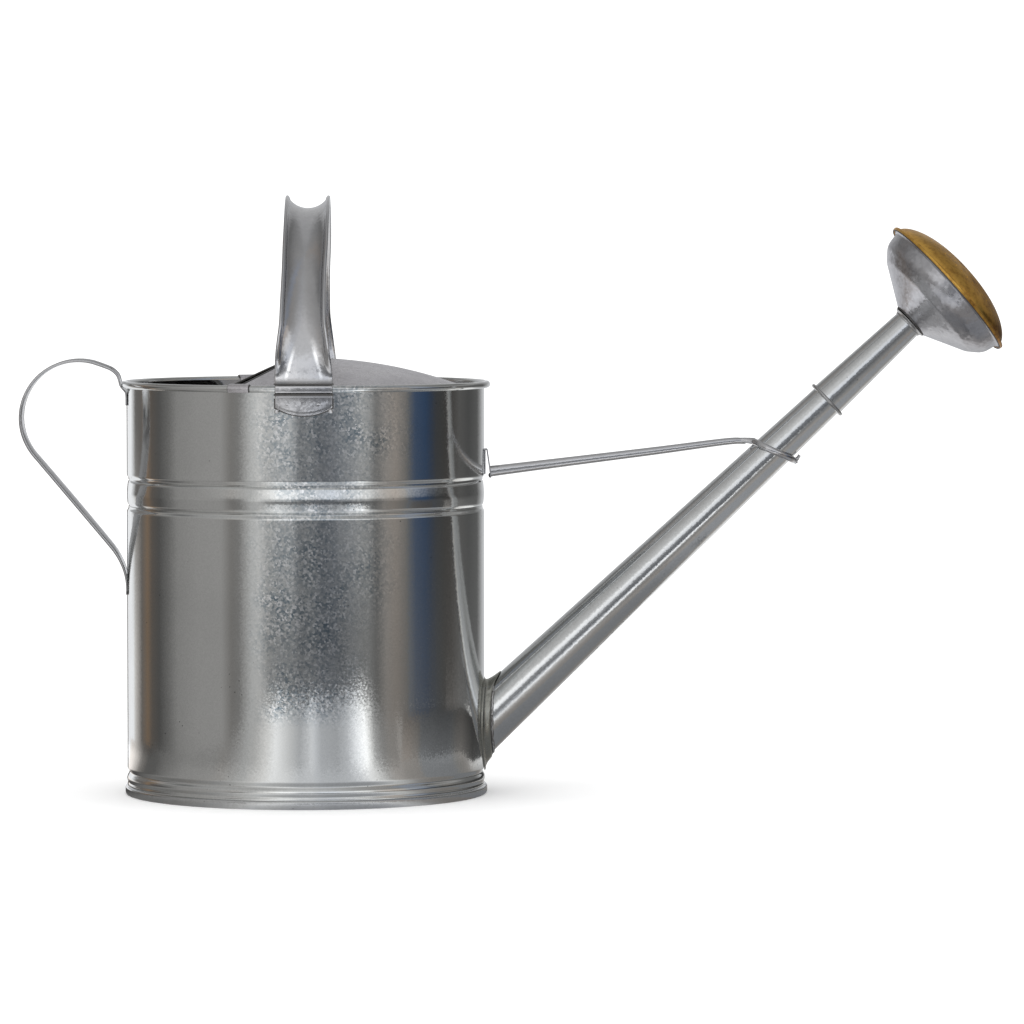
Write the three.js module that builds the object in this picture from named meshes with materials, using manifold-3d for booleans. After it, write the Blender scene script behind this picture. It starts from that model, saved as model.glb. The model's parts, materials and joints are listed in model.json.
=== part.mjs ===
// A ten-litre garden watering can in galvanised sheet steel. Its brass-faced rose pulls off and turns.
// Millimetres, +Z up, standing on z = 0. +X points from the can towards the rose.
// The pieces are drawn around the can's own axis, and the whole is moved at the end so that the origin is
// under the middle of its length.

import * as THREE from 'three';
import { mergeVertices } from 'three/addons/utils/BufferGeometryUtils.js';
import Module from 'manifold-3d';

const wasm = await Module();
wasm.setup();

// ---- driving dimensions ----

const sheet = 0.6; // galvanised sheet of the can, spout and cover
const strapSheet = 0.8; // sheet of the two handles
const roseSheet = 0.5;
const gap = 0.3; // left between two touching pieces

const bodyRadius = 112.7; // outside of the can's wall
const rimHeight = 258.8; // centre of the wired rim
const rimBeadRadius = 2.2;
const rimWireRadius = 1.05;
const rimRadius = 114.3; // radius of the circle the rim wire follows
const seamRadius = 114.5; // outside of the folded bottom seam, which is the foot
const baseHeight = 6.3; // middle of the raised floor sheet

const domeRadius = 285; // the cover is part of a sphere of this radius
const domeTop = 275.3;
const mouthRadius = 125; // the fill mouth is cut out of the cover by a circle of this radius
const mouthCentre = -132.3;
const edgeWireRadius = 1.3;
const mouthSegments = 72;

const handleSpan = 113.4; // half the top handle's span, front to back
const handleRise = 107.4; // above handleFoot, to the bottom of the gutter
const handleFoot = 262;
const handleHalfWidth = 17.6; // measured along the sheet, half the flat width
const handleNarrowing = 1.5; // taken off each half by the hems, towards the grip
const handleCurl = 0.0683; // one over the gutter's radius at the grip
const handleOffset = 0.8; // the handle sits this far towards the spout

const spoutTilt = THREE.MathUtils.degToRad(43.3); // above the horizon
const spoutHeight = 44.2; // where the spout's axis meets the can's wall
const spoutRootRadius = 17.05;
const spoutTaper = 0.02156; // loss of radius per millimetre of length
const neckStart = 298.2; // distances along the spout's axis, from the can's wall
const neckEnd = 369.1;
const spoutEnd = neckStart + 24;
const roseStart = 370.9;
const roseDroop = THREE.MathUtils.degToRad(1.8); // the bell sits this far below the line of the spout

const stayRingStation = 251.2; // where the stay's ring goes round the spout
const stayWireRadius = 1.7;

const canSegments = 40;
const tubeSegments = 24;
const roseSegments = 24;

// ---- materials ----

const metal = (color, roughness) => new THREE.MeshStandardMaterial({ color, roughness, metalness: 1 });
const galvanised = metal(0xb4b6b4, 0.3);
const strapSteel = metal(0xa9aaab, 0.35);
const zinc = metal(0x9b9ca0, 0.45);
const wireSteel = metal(0x8f9090, 0.4);
const solder = metal(0xc4c5c8, 0.35);
const brass = metal(0xb08d3c, 0.35);

// ---- geometry helpers ----

const vector = (x, y, z) => new THREE.Vector3(x, y, z);

function signedVolume(geometry) {
  const position = geometry.getAttribute('position');
  const index = geometry.getIndex().array;
  const [a, b, c] = [vector(), vector(), vector()];
  let total = 0;
  for (let i = 0; i < index.length; i += 3) {
    a.fromBufferAttribute(position, index[i]);
    b.fromBufferAttribute(position, index[i + 1]);
    c.fromBufferAttribute(position, index[i + 2]);
    total += a.dot(b.cross(c)) / 6;
  }
  return total;
}

// Merges shared vertices and turns every face outwards.
function closed(source) {
  source.deleteAttribute('normal');
  source.deleteAttribute('uv');
  const geometry = mergeVertices(source, 1e-4);
  const index = geometry.getIndex().array;
  const kept = [];
  const outwards = signedVolume(geometry) > 0;
  for (let i = 0; i < index.length; i += 3) {
    const [a, b, c] = [index[i], index[i + 1], index[i + 2]];
    if (a === b || b === c || c === a) continue;
    kept.push(a, outwards ? b : c, outwards ? c : b);
  }
  geometry.setIndex(kept);
  return geometry;
}

function solidOf(geometry) {
  const mesh = new wasm.Mesh({
    numProp: 3,
    vertProperties: new Float32Array(geometry.getAttribute('position').array),
    triVerts: new Uint32Array(geometry.getIndex().array),
  });
  return new wasm.Manifold(mesh);
}

function geometryOf(solid) {
  const mesh = solid.getMesh();
  const geometry = new THREE.BufferGeometry();
  geometry.setAttribute('position', new THREE.BufferAttribute(new Float32Array(mesh.vertProperties), 3));
  geometry.setIndex([...mesh.triVerts]);
  return geometry;
}

// Points on an arc, as [x, y] pairs, from one angle to another in degrees.
function arc(x, y, radius, from, to, steps) {
  const points = [];
  for (let i = 0; i <= steps; i++) {
    const angle = THREE.MathUtils.degToRad(from + ((to - from) * i) / steps);
    points.push([x + radius * Math.cos(angle), y + radius * Math.sin(angle)]);
  }
  return points;
}

// The unit normal to the left of an open line of [x, y] points, at each point, longer at a corner.
function leftNormals(line) {
  return line.map((point, i) => {
    const before = new THREE.Vector2(...(line[i - 1] ?? point));
    const after = new THREE.Vector2(...(line[i + 1] ?? point));
    const here = new THREE.Vector2(...point);
    const one = (i > 0 ? here.clone().sub(before) : after.clone().sub(here)).normalize();
    const two = (i < line.length - 1 ? after.clone().sub(here) : here.clone().sub(before)).normalize();
    const mean = one.clone().add(two).normalize();
    const mitre = 1 / Math.max(0.5, mean.dot(one));
    return [-mean.y * mitre, mean.x * mitre];
  });
}

// The closed outline of a sheet of this thickness whose middle follows an open line.
function sheetOutline(line, thickness) {
  const normals = leftNormals(line);
  const side = (s) => line.map(([x, y], i) => [
    x + (normals[i][0] * s * thickness) / 2,
    y + (normals[i][1] * s * thickness) / 2,
  ]);
  return [...side(1), ...side(-1).reverse()];
}

// A closed outline of [radius, z] points turned round the Z axis.
function turned(outline, segments) {
  const points = outline.map(([r, z]) => new THREE.Vector2(Math.max(r, 0), z));
  const onAxis = points[0].x < 1e-6 && points[points.length - 1].x < 1e-6;
  if (!onAxis) points.push(points[0].clone());
  return closed(new THREE.LatheGeometry(points, segments).rotateX(Math.PI / 2));
}

const turnedSheet = (line, thickness, segments) => turned(sheetOutline(line, thickness), segments);

// A full cone frustum about Z, as a solid for cutting.
function frustum(lowRadius, highRadius, low, high, segments) {
  return solidOf(turned([[0, low], [lowRadius, low], [highRadius, high], [0, high]], segments));
}

// A closed solid between two equal grids of points, joined round their edges.
function between(front, back) {
  const rows = front.length;
  const columns = front[0].length;
  const positions = [...front.flat(), ...back.flat()].flatMap((p) => [p.x, p.y, p.z]);
  const at = (side, i, j) => side * rows * columns + i * columns + j;
  const index = [];
  const quad = (a, b, c, d) => index.push(a, b, c, a, c, d);
  for (let i = 0; i < rows - 1; i++) {
    for (let j = 0; j < columns - 1; j++) {
      quad(at(0, i, j), at(0, i + 1, j), at(0, i + 1, j + 1), at(0, i, j + 1));
      quad(at(1, i, j), at(1, i, j + 1), at(1, i + 1, j + 1), at(1, i + 1, j));
    }
    quad(at(0, i, 0), at(1, i, 0), at(1, i + 1, 0), at(0, i + 1, 0));
    const last = columns - 1;
    quad(at(0, i, last), at(0, i + 1, last), at(1, i + 1, last), at(1, i, last));
  }
  for (let j = 0; j < columns - 1; j++) {
    quad(at(0, 0, j), at(0, 0, j + 1), at(1, 0, j + 1), at(1, 0, j));
    const last = rows - 1;
    quad(at(0, last, j), at(1, last, j), at(1, last, j + 1), at(0, last, j + 1));
  }
  const geometry = new THREE.BufferGeometry();
  geometry.setAttribute('position', new THREE.Float32BufferAttribute(positions, 3));
  geometry.setIndex(index);
  return closed(geometry);
}

// A solid round bar along a curve.
function bar(curve, radius, steps, sides) {
  const ring = arc(0, 0, radius, 0, 360 - 360 / sides, sides - 1);
  const section = new THREE.Shape(ring.map((p) => new THREE.Vector2(...p)));
  return closed(new THREE.ExtrudeGeometry(section, { steps, bevelEnabled: false, extrudePath: curve }));
}

const smooth = (value, from, to) => THREE.MathUtils.smoothstep(value, from, to);

// ---- the can's wall and floor ----

const wallMiddle = bodyRadius - sheet / 2;

// Up the wall from the folded foot: one swaged groove, then the wide bead between two grooves, then the rim.
function wallLine() {
  const grooveDepth = 0.9;
  const crest = [[wallMiddle, 187.6], [wallMiddle, 193]];
  return [
    [wallMiddle + 1.1, 1.2],
    [wallMiddle, 1.2],
    [wallMiddle, 9.6],
    [wallMiddle - grooveDepth, 13],
    [wallMiddle, 16.4],
    [wallMiddle, 178],
    [wallMiddle - grooveDepth, 181.8],
    ...crest,
    [wallMiddle - grooveDepth, 198.8],
    [wallMiddle, 202.4],
    ...arc(rimRadius, rimHeight, rimBeadRadius - sheet / 2, 180, -110, 5),
  ];
}

// The slanted frame of the spout: its own Z runs along the spout, from the can's wall.
const slant = new THREE.Matrix4()
  .makeRotationY(Math.PI / 2 - spoutTilt)
  .setPosition(bodyRadius, 0, spoutHeight);

const slanted = (geometry) => geometry.clone().applyMatrix4(slant);

function slantedFrustum(radiusAt, low, high) {
  const outline = [[0, low], [radiusAt(low), low], [radiusAt(high), high], [0, high]];
  return solidOf(slanted(turned(outline, tubeSegments)));
}

const spoutRadiusAt = (distance) => spoutRootRadius - spoutTaper * distance;

function bodyShell() {
  const wall = solidOf(turnedSheet(wallLine(), sheet, canSegments));
  const hole = slantedFrustum((s) => spoutRadiusAt(s) - sheet, -40, 25);
  return geometryOf(wall.subtract(hole));
}

// The floor turns down inside the wall, out under it and up round its flange, which makes the foot.
function basePan() {
  const inner = bodyRadius - sheet - gap - sheet / 2;
  const outer = seamRadius - sheet / 2;
  const line = [
    [0, baseHeight],
    [inner, baseHeight],
    [inner, sheet / 2],
    [outer, sheet / 2],
    [outer, 4.1],
    [bodyRadius + 0.4, 4.1],
  ];
  return turnedSheet(line, sheet, canSegments);
}

function rimWire() {
  const wire = arc(rimRadius, rimHeight, rimWireRadius, 0, 288, 4);
  return turned(wire, canSegments);
}

// ---- the cover over the spout's side of the mouth ----

const domeHeight = (r) => domeTop - domeRadius + Math.sqrt(domeRadius ** 2 - r ** 2);
const coverRadius = bodyRadius - sheet - 0.4 - sheet / 2;

function cover() {
  const rings = [0, 20, 42, 62, 80, 96, coverRadius];
  const line = [...rings.map((r) => [r, domeHeight(r)]), [coverRadius, 247]];
  const dome = solidOf(turnedSheet(line, sheet, canSegments));
  const cut = frustum(mouthRadius, mouthRadius, 200, 300, mouthSegments).translate([mouthCentre, 0, 0]);
  return geometryOf(dome.subtract(cut));
}

// The rolled wire along the cut edge.
function coverEdgeWire() {
  const radius = mouthRadius - edgeWireRadius - gap - 0.15;
  const halfAngle = 50;
  const points = arc(mouthCentre, 0, radius, -halfAngle, halfAngle, 16);
  const path = points.map(([x, y]) => vector(x, y, domeHeight(Math.hypot(x, y))));
  const curve = new THREE.CatmullRomCurve3(path);
  return bar(curve, edgeWireRadius, 26, 8);
}

// A clip hooks the cover's corner over the rim. Angles are measured round the can from -Y towards -X.
function coverClip(side) {
  const clear = gap + sheet;
  const over = arc(rimRadius - 0.18, rimHeight, rimBeadRadius + 0.82, 180, -30, 6);
  const line = [[103, domeHeight(103) + clear], [108.5, domeHeight(108.5) + clear], [110.9, 255.8], ...over];
  const normals = leftNormals(line);
  const angles = [16.8, 20, 23.2];
  const face = (s) => line.map(([r, z], i) => angles.map((degrees) => {
    const angle = THREE.MathUtils.degToRad(degrees);
    const radius = r + (normals[i][0] * s * sheet) / 2;
    const height = z + (normals[i][1] * s * sheet) / 2;
    return vector(-radius * Math.sin(angle), side * radius * Math.cos(angle), height);
  }));
  return between(face(1), face(-1));
}

// ---- straps: a sheet swept along a line, curled into a gutter across its width ----

// Each station holds the distance out from the can (or across it), the height, the gutter's curl, the half
// width along the sheet, the extra thickness of its hems and how far it follows the can's round wall. Its
// sink is how deep the middle of the gutter lies below the line that the stations draw.
function strap(stations, thickness, columns, place) {
  const normals = leftNormals(stations.map((s) => [s.out, s.height]));
  const face = (side) => stations.map((s, i) => {
    const row = [];
    for (let j = 0; j < columns; j++) {
      const share = (2 * j) / (columns - 1) - 1;
      const along = share * s.halfWidth;
      const turn = s.curl * along;
      const skin = (side * (thickness + (Math.abs(share) > 0.9 ? s.hem : 0))) / 2;
      const lateral = (s.curl > 0 ? Math.sin(turn) / s.curl : along) - Math.sin(turn) * skin;
      const rise = s.curl > 0 ? (1 - Math.cos(turn)) / s.curl : 0;
      const depth = rise - (s.sink || 0) + Math.cos(turn) * skin;
      row.push(place(s.out + normals[i][0] * depth, s.height + normals[i][1] * depth, lateral, s.follow));
    }
    return row;
  });
  return between(face(1), face(-1));
}

// A point at this distance out and this far sideways, bent round the can's axis by the share given.
function besideCan(out, lateral, follow) {
  const angle = lateral / Math.abs(out || 1);
  const bent = [Math.abs(out) * Math.cos(angle) * Math.sign(out), Math.abs(out) * Math.sin(angle)];
  return [
    THREE.MathUtils.lerp(out, bent[0], follow),
    THREE.MathUtils.lerp(lateral, bent[1], follow),
  ];
}

// The welded tab and the sleeve over the rim, from the tab's rounded end upwards.
function tabAndSleeve() {
  const tab = bodyRadius + 0.4 + strapSheet / 2;
  const end = 242.4;
  const rounding = 5.1;
  const stations = [0.3, 1.2, 3, rounding, 10.6].map((above) => {
    const share = Math.sqrt(Math.min(1, above / rounding));
    return { out: tab, height: end + above, halfWidth: handleHalfWidth * share };
  });
  const over = [[114.3, 254.7], [117.25, 257.5], [117.25, 260], [114.5, 262.8]];
  over.forEach(([out, height]) => stations.push({ out, height, halfWidth: handleHalfWidth }));
  return stations.map((s) => ({ ...s, curl: 0, hem: 0, follow: 1 }));
}

function topHandle() {
  const steps = 10;
  const flareLength = 25;
  const half = tabAndSleeve();
  for (let i = 0; i <= steps; i++) {
    const angle = THREE.MathUtils.lerp(0.055, Math.PI / 2, i / steps);
    const rise = handleRise * Math.sin(angle);
    const length = Math.max(0, handleRise * angle - 5);
    half.push({
      out: handleSpan * Math.cos(angle),
      height: handleFoot + rise,
      halfWidth: handleHalfWidth - handleNarrowing * smooth(length, 0, 30),
      curl: handleCurl * (1 - Math.exp(-length / flareLength)),
      hem: 1.1 * smooth(length, 2, 12),
      follow: 1 - smooth(length, 0, 15),
    });
  }
  const front = half.map((s) => ({ ...s, out: -s.out }));
  const rear = half.slice(0, -1).reverse();
  return strap([...front, ...rear], strapSheet, 7, (out, height, lateral, follow) => {
    const [y, x] = besideCan(out, lateral + handleOffset, follow);
    return vector(x, y, height);
  });
}

// A small bead of solder at a lower corner of one of the two tabs.
function handleSolder(side, across) {
  const angle = (across * (handleHalfWidth - 1.2) + handleOffset) / bodyRadius;
  const radius = bodyRadius + 1.5;
  const bead = new THREE.SphereGeometry(1.1, 8, 6);
  return closed(bead.translate(radius * Math.sin(angle), side * radius * Math.cos(angle), 245));
}

// The loop behind the can: up from its lower tab, round a big arc, over and down outside the rim.
function rearHandle() {
  const tab = -(bodyRadius + 0.4 + strapSheet / 2);
  const loop = { x: -143.4, z: 237.3, radius: 36.65 };
  const lean = 40.3; // of the straight run, outwards from the wall, in degrees
  const bend = { radius: 40, z: 130.4 };
  const halfWidth = 12.6;
  // The stations follow the strip's two edges, and its middle lies nearer the can.
  const station = ([out, height], curl, follow) => {
    const hem = 1.1 * smooth(1 - follow, 0, 1);
    const sink = curl > 0 ? (1 - Math.cos(curl * halfWidth)) / curl : 0;
    return { out, height, curl, halfWidth, hem, follow, sink };
  };
  const lower = [125.7, bend.z].map((z) => station([tab, z], 0, 1));
  const turn = arc(tab - bend.radius, bend.z, bend.radius, 0, lean, 5).slice(1);
  const bent = turn.map((point, i) => station(point, 0.005 * (i + 1), 1 - (i + 1) / 5));
  const round = arc(loop.x, loop.z, loop.radius, 180 + lean, 75, 11);
  const foot = new THREE.Vector2(...turn[turn.length - 1]);
  const head = new THREE.Vector2(...round[0]);
  const straight = [0.35, 0.8].map((share) => station(foot.clone().lerp(head, share).toArray(), 0.032, 0));
  const curved = round.map((point, i) => station(point, i === 0 ? 0.024 : 0.013, 0));
  const over = [
    [-127.2, 270.4],
    [-122.4, 268.2],
    [-119, 264.9],
    [-117.8, 261.4],
    [-117.2, 258],
    [-114.4, 254.4],
    [tab, 251.6],
    [tab, 245.5],
  ].map((point, i) => station(point, 0.008 * Math.max(0, 1 - i), Math.min(1, (i + 1) / 4)));
  const stations = [...lower, ...bent, ...straight, ...curved, ...over];
  return strap(stations, strapSheet, 7, (out, z, lateral, follow) => {
    const [x, y] = besideCan(out, lateral, follow);
    return vector(x, y, z);
  });
}

// ---- the spout ----

const canCylinder = (radius) => frustum(radius, radius, -60, 320, canSegments);

function spoutTube() {
  const line = [[spoutRadiusAt(-30) - sheet / 2, -30], [spoutRadiusAt(spoutEnd) - sheet / 2, spoutEnd]];
  const tube = solidOf(slanted(turnedSheet(line, sheet, tubeSegments)));
  return geometryOf(tube.subtract(canCylinder(bodyRadius + gap)));
}

// A saddle round the spout's root: a flange on the can's wall and a short upstand round the tube.
function spoutCollar() {
  const grown = (extra) => slantedFrustum((s) => spoutRadiusAt(s) + extra, -40, 45);
  const shell = (low, high) => canCylinder(high).subtract(canCylinder(low));
  const flange = grown(5.5).intersect(shell(bodyRadius + gap, bodyRadius + gap + 0.7));
  const upstand = grown(1.6).intersect(shell(bodyRadius + gap, bodyRadius + 4.2));
  return geometryOf(flange.add(upstand).subtract(grown(gap)));
}

// ---- the stay between the can and the spout ----

const stayRoot = { x: 118, z: 203.9 };
const stayTip = { x: 277.6, z: 223.4 };
const alongSpout = (distance) => [
  bodyRadius + distance * Math.cos(spoutTilt),
  spoutHeight + distance * Math.sin(spoutTilt),
];

// A strip folded into a narrow V: one leg is soldered to the can, and the other turns out under the bar.
function stayFoot() {
  const line = [
    [bodyRadius + 0.8, 201.8],
    [bodyRadius + 0.8, 216.4],
    [bodyRadius + 1.3, 217.5],
    [bodyRadius + 1.9, 216.4],
    [116.3, 203.6],
    [116.9, 199.3],
    [126.5, 200.1],
  ];
  const normals = leftNormals(line);
  const thickness = 0.7;
  const halfWidths = [6, 6, 5.6, 5, 3.6, 3, 2.6];
  const face = (s) => line.map(([x, z], i) => [-1, 0, 1].map((across) => vector(
    x + (normals[i][0] * s * thickness) / 2,
    across * halfWidths[i],
    z + (normals[i][1] * s * thickness) / 2,
  )));
  return between(face(1), face(-1));
}

// A strip rolled into a narrow tube that stays open along its back, and narrows towards the spout.
function stayStrip() {
  const thickness = 0.7;
  const rows = 7;
  const angles = [-150, -115, -80, -45, -10, 25, 60, 95, 130];
  const face = (s) => Array.from({ length: rows }, (_, i) => {
    const share = i / (rows - 1);
    const x = THREE.MathUtils.lerp(stayRoot.x, stayTip.x, share);
    const z = THREE.MathUtils.lerp(stayRoot.z, stayTip.z, share);
    const tall = THREE.MathUtils.lerp(3.1, 1.75, Math.sqrt(share));
    const deep = THREE.MathUtils.lerp(2.6, 1.75, share);
    return angles.map((degrees) => {
      const angle = THREE.MathUtils.degToRad(degrees);
      const inset = ((1 - s) * thickness) / 2;
      return vector(x, -(deep - inset) * Math.cos(angle), z + 0.3 + (tall - inset) * Math.sin(angle));
    });
  });
  return solidOf(between(face(1), face(-1)));
}

// Its end is split into two round arms that hug the spout, tilted from square, and turn out where they meet.
function stayArms() {
  const [x, z] = alongSpout(stayRingStation);
  const tilt = THREE.MathUtils.degToRad(-24.9);
  const outwards = vector(Math.cos(tilt), 0, Math.sin(tilt));
  const clear = spoutRadiusAt(stayRingStation) + gap + stayWireRadius + 0.1;
  const long = clear / Math.cos(THREE.MathUtils.degToRad(21.9));
  const points = arc(0, 0, 1, 12, 348, 20).map(([c, s]) => (
    vector(x, clear * s, z).addScaledVector(outwards, long * c)
  ));
  const first = points[0];
  const last = points[points.length - 1];
  const top = vector(x, 0, z).addScaledVector(outwards, -long);
  const line = (from, to, radius) => solidOf(bar(new THREE.LineCurve3(from, to), radius, 1, 8));
  return solidOf(bar(new THREE.CatmullRomCurve3(points), stayWireRadius, 26, 8))
    .add(line(vector(stayTip.x - 8, 0, stayTip.z - 0.6), top, stayWireRadius))
    .add(line(first, first.clone().add(vector(2.4, 0, 3.6)), 1.1))
    .add(line(last, last.clone().add(vector(2.2, 0, -2.4)), 1.1));
}

const stayBar = () => geometryOf(stayStrip().add(stayArms()));

// ---- the rose, drawn along the spout's own axis ----

const neckMouth = spoutRadiusAt(neckStart) + 0.45 + roseSheet / 2;
const neckThroat = 9.1;

function roseNeck() {
  return turnedSheet([[neckMouth, neckStart - 1], [neckThroat, neckEnd]], roseSheet, tubeSegments);
}

function roseNeckRing() {
  const middle = neckMouth + roseSheet / 2 + gap + 0.75;
  const section = arc(0, 0, 1, 0, 315, 7).map(([c, s]) => [middle + 0.75 * c, neckStart + 0.2 + 1.3 * s]);
  return turned(section, tubeSegments);
}

// The turned-out collar that holds the neck against the rose's shell.
function roseCollar() {
  const inner = neckThroat + roseSheet / 2 + 0.45;
  const line = [[inner + 0.25, neckEnd - 3.4], [inner + 0.35, neckEnd - 1.6], [11.7, neckEnd + 0.2]];
  return turnedSheet(line, roseSheet, tubeSegments);
}

const flangeStation = 402.2;

// Tilts a piece of the bell downwards about the end of the neck.
const drooped = (geometry) => geometry.translate(0, 0, -neckEnd).rotateY(roseDroop).translate(0, 0, neckEnd);

function roseShell() {
  const line = [
    [neckThroat + 0.8, roseStart - 0.6],
    [12.2, roseStart],
    [19, roseStart + 4],
    [27, roseStart + 8],
    [35, roseStart + 12.2],
    [41, roseStart + 16.7],
    [45, roseStart + 22.5],
    [46.8, flangeStation - 2],
    [47.6, flangeStation],
    [49.7, flangeStation],
  ];
  return drooped(turnedSheet(line, roseSheet, roseSegments));
}

// The domed brass face: its edge lies on the shell's flange and folds round it, and it is drilled in rings.
function rosePlate() {
  const lip = flangeStation + roseSheet + gap;
  const line = [
    [50.25 + roseSheet / 2, flangeStation - 0.9],
    [50.25 + roseSheet / 2, lip],
    [47.9, lip],
    [46, lip + 3.6],
    [42, lip + 7.5],
    [35.8, lip + 11],
    [22, lip + 14.1],
    [0, lip + 15.8],
  ];
  const plate = solidOf(turnedSheet(line, roseSheet, roseSegments));
  const holes = [];
  const hole = closed(new THREE.CylinderGeometry(0.7, 0.7, 12, 6).rotateX(Math.PI / 2));
  for (let ring = 0; ring <= 2; ring++) {
    const count = Math.max(1, 6 * ring);
    for (let i = 0; i < count; i++) {
      const angle = ((i + 0.5 * (ring % 2)) / count) * 2 * Math.PI;
      const radius = 14 * ring;
      const place = [radius * Math.cos(angle), radius * Math.sin(angle), lip + 15.8 - radius ** 2 / 240];
      holes.push(solidOf(hole.clone().translate(...place)));
    }
  }
  return drooped(geometryOf(plate.subtract(wasm.Manifold.union(holes))));
}

// ---- assembly ----

const can = new THREE.Group();
const spoutFrame = new THREE.Group();
spoutFrame.position.set(bodyRadius, 0, spoutHeight);
spoutFrame.rotation.y = Math.PI / 2 - spoutTilt;
can.add(spoutFrame);

function add(parent, name, geometry, material) {
  const mesh = new THREE.Mesh(geometry, material);
  mesh.name = name;
  parent.add(mesh);
}

add(can, 'body_shell', bodyShell(), galvanised);
add(can, 'base_pan', basePan(), galvanised);
add(can, 'rim_wire', rimWire(), wireSteel);
add(can, 'cover', cover(), galvanised);
add(can, 'cover_edge_wire', coverEdgeWire(), wireSteel);
add(can, 'cover_clip_near', coverClip(-1), galvanised);
add(can, 'cover_clip_far', coverClip(1), galvanised);
add(can, 'top_handle', topHandle(), strapSteel);
add(can, 'solder_near_left', handleSolder(-1, -1), solder);
add(can, 'solder_near_right', handleSolder(-1, 1), solder);
add(can, 'solder_far_left', handleSolder(1, -1), solder);
add(can, 'solder_far_right', handleSolder(1, 1), solder);
add(can, 'rear_handle', rearHandle(), strapSteel);
add(can, 'spout_tube', spoutTube(), galvanised);
add(can, 'spout_collar', spoutCollar(), solder);
add(can, 'stay_foot', stayFoot(), strapSteel);
add(can, 'stay_bar', stayBar(), strapSteel);
add(spoutFrame, 'rose_neck_ring', roseNeckRing(), wireSteel);
add(spoutFrame, 'rose_neck', roseNeck(), galvanised);
add(spoutFrame, 'rose_collar', roseCollar(), wireSteel);
add(spoutFrame, 'rose_shell', roseShell(), zinc);
add(spoutFrame, 'rose_plate', rosePlate(), brass);

const reach = new THREE.Box3().setFromObject(can, true);
can.position.x = -(reach.min.x + reach.max.x) / 2;

const wateringCan = new THREE.Group();
wateringCan.add(can);
export default wateringCan;
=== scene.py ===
"""A galvanised watering can with a brass-faced rose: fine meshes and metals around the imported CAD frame."""

import json
import math
import random

import bmesh
import bpy
from mathutils import Matrix, Vector


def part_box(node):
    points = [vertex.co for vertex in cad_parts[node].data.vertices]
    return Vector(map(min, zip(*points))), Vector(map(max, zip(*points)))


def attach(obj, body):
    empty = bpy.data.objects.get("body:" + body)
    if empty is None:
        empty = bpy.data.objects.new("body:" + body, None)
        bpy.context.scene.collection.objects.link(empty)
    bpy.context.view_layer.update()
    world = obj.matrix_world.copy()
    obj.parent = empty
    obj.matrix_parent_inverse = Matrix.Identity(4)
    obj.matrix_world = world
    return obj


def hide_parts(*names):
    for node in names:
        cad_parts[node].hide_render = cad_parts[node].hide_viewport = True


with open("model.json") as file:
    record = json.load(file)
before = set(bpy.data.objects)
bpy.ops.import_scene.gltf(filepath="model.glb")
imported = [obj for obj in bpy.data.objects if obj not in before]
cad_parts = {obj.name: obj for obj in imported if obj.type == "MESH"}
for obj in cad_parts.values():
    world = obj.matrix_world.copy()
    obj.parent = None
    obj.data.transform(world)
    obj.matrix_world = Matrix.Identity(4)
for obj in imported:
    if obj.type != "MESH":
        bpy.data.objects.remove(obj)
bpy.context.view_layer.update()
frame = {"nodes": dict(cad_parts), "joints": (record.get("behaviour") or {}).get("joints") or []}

# ---- sizes, in millimetres, measured from the can's own upright axis unless they say otherwise ----

MM = 0.001
pan_low, pan_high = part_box("base_pan")
AXIS_X = (pan_low.x + pan_high.x) / 2
TO_ROW = Matrix.Translation((AXIS_X, 0, 0)) @ Matrix.Scale(MM, 4)


def cad(node):
    """The lowest and highest corners of a CAD node, in millimetres from the can's axis."""
    return [TO_ROW.inverted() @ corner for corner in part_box(node)]


FOOT = (pan_high.x - pan_low.x) / 2 / MM
PAN_TOP = cad("base_pan")[1].z
RIM_OUTER = cad("body_shell")[1].x
RIM_TOP = cad("body_shell")[1].z
RIM_BEAD = 2.2
RIM_R = RIM_OUTER - RIM_BEAD
RIM_Z = RIM_TOP - RIM_BEAD + 0.15
WALL = RIM_R - 1.6  # outside of the can's wall
SHEET = 0.6
THIN = 0.5  # sheet of the rose's neck, flare and face
DOME_TOP = cad("cover")[1].z - SHEET / 2
DOME = 285
COVER_R = WALL - 0.9
MOUTH_R = 125
MOUTH_X = -132.3
HANDLE_TOP = cad("top_handle")[1].z
HANDLE_SPAN = WALL + 0.7
HANDLE_FOOT = 262
HANDLE_RISE = HANDLE_TOP - 8.4 - HANDLE_FOOT
HANDLE_TAB = 242.4
HANDLE_HALF = 17.6
HANDLE_X = 0.55  # the carrying handle sits this far towards the spout
TAB_ARC = 5.1  # height of the arc at the lower end of its tabs
TAB_LEAN = 0.052  # the tabs stand away from the wall by this share of their depth below LEAN_TOP
LEAN_TOP = 253.5
STRAP = 0.8
TAB_OUT = WALL + 0.35 + STRAP / 2  # the middle of a handle's sheet where it lies on the wall
LOOP_OUTER = -cad("rear_handle")[0].x
LOOP_R = 36.65
LOOP_X = -LOOP_OUTER + LOOP_R + 1.2
LOOP_Z = 237.3

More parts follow.
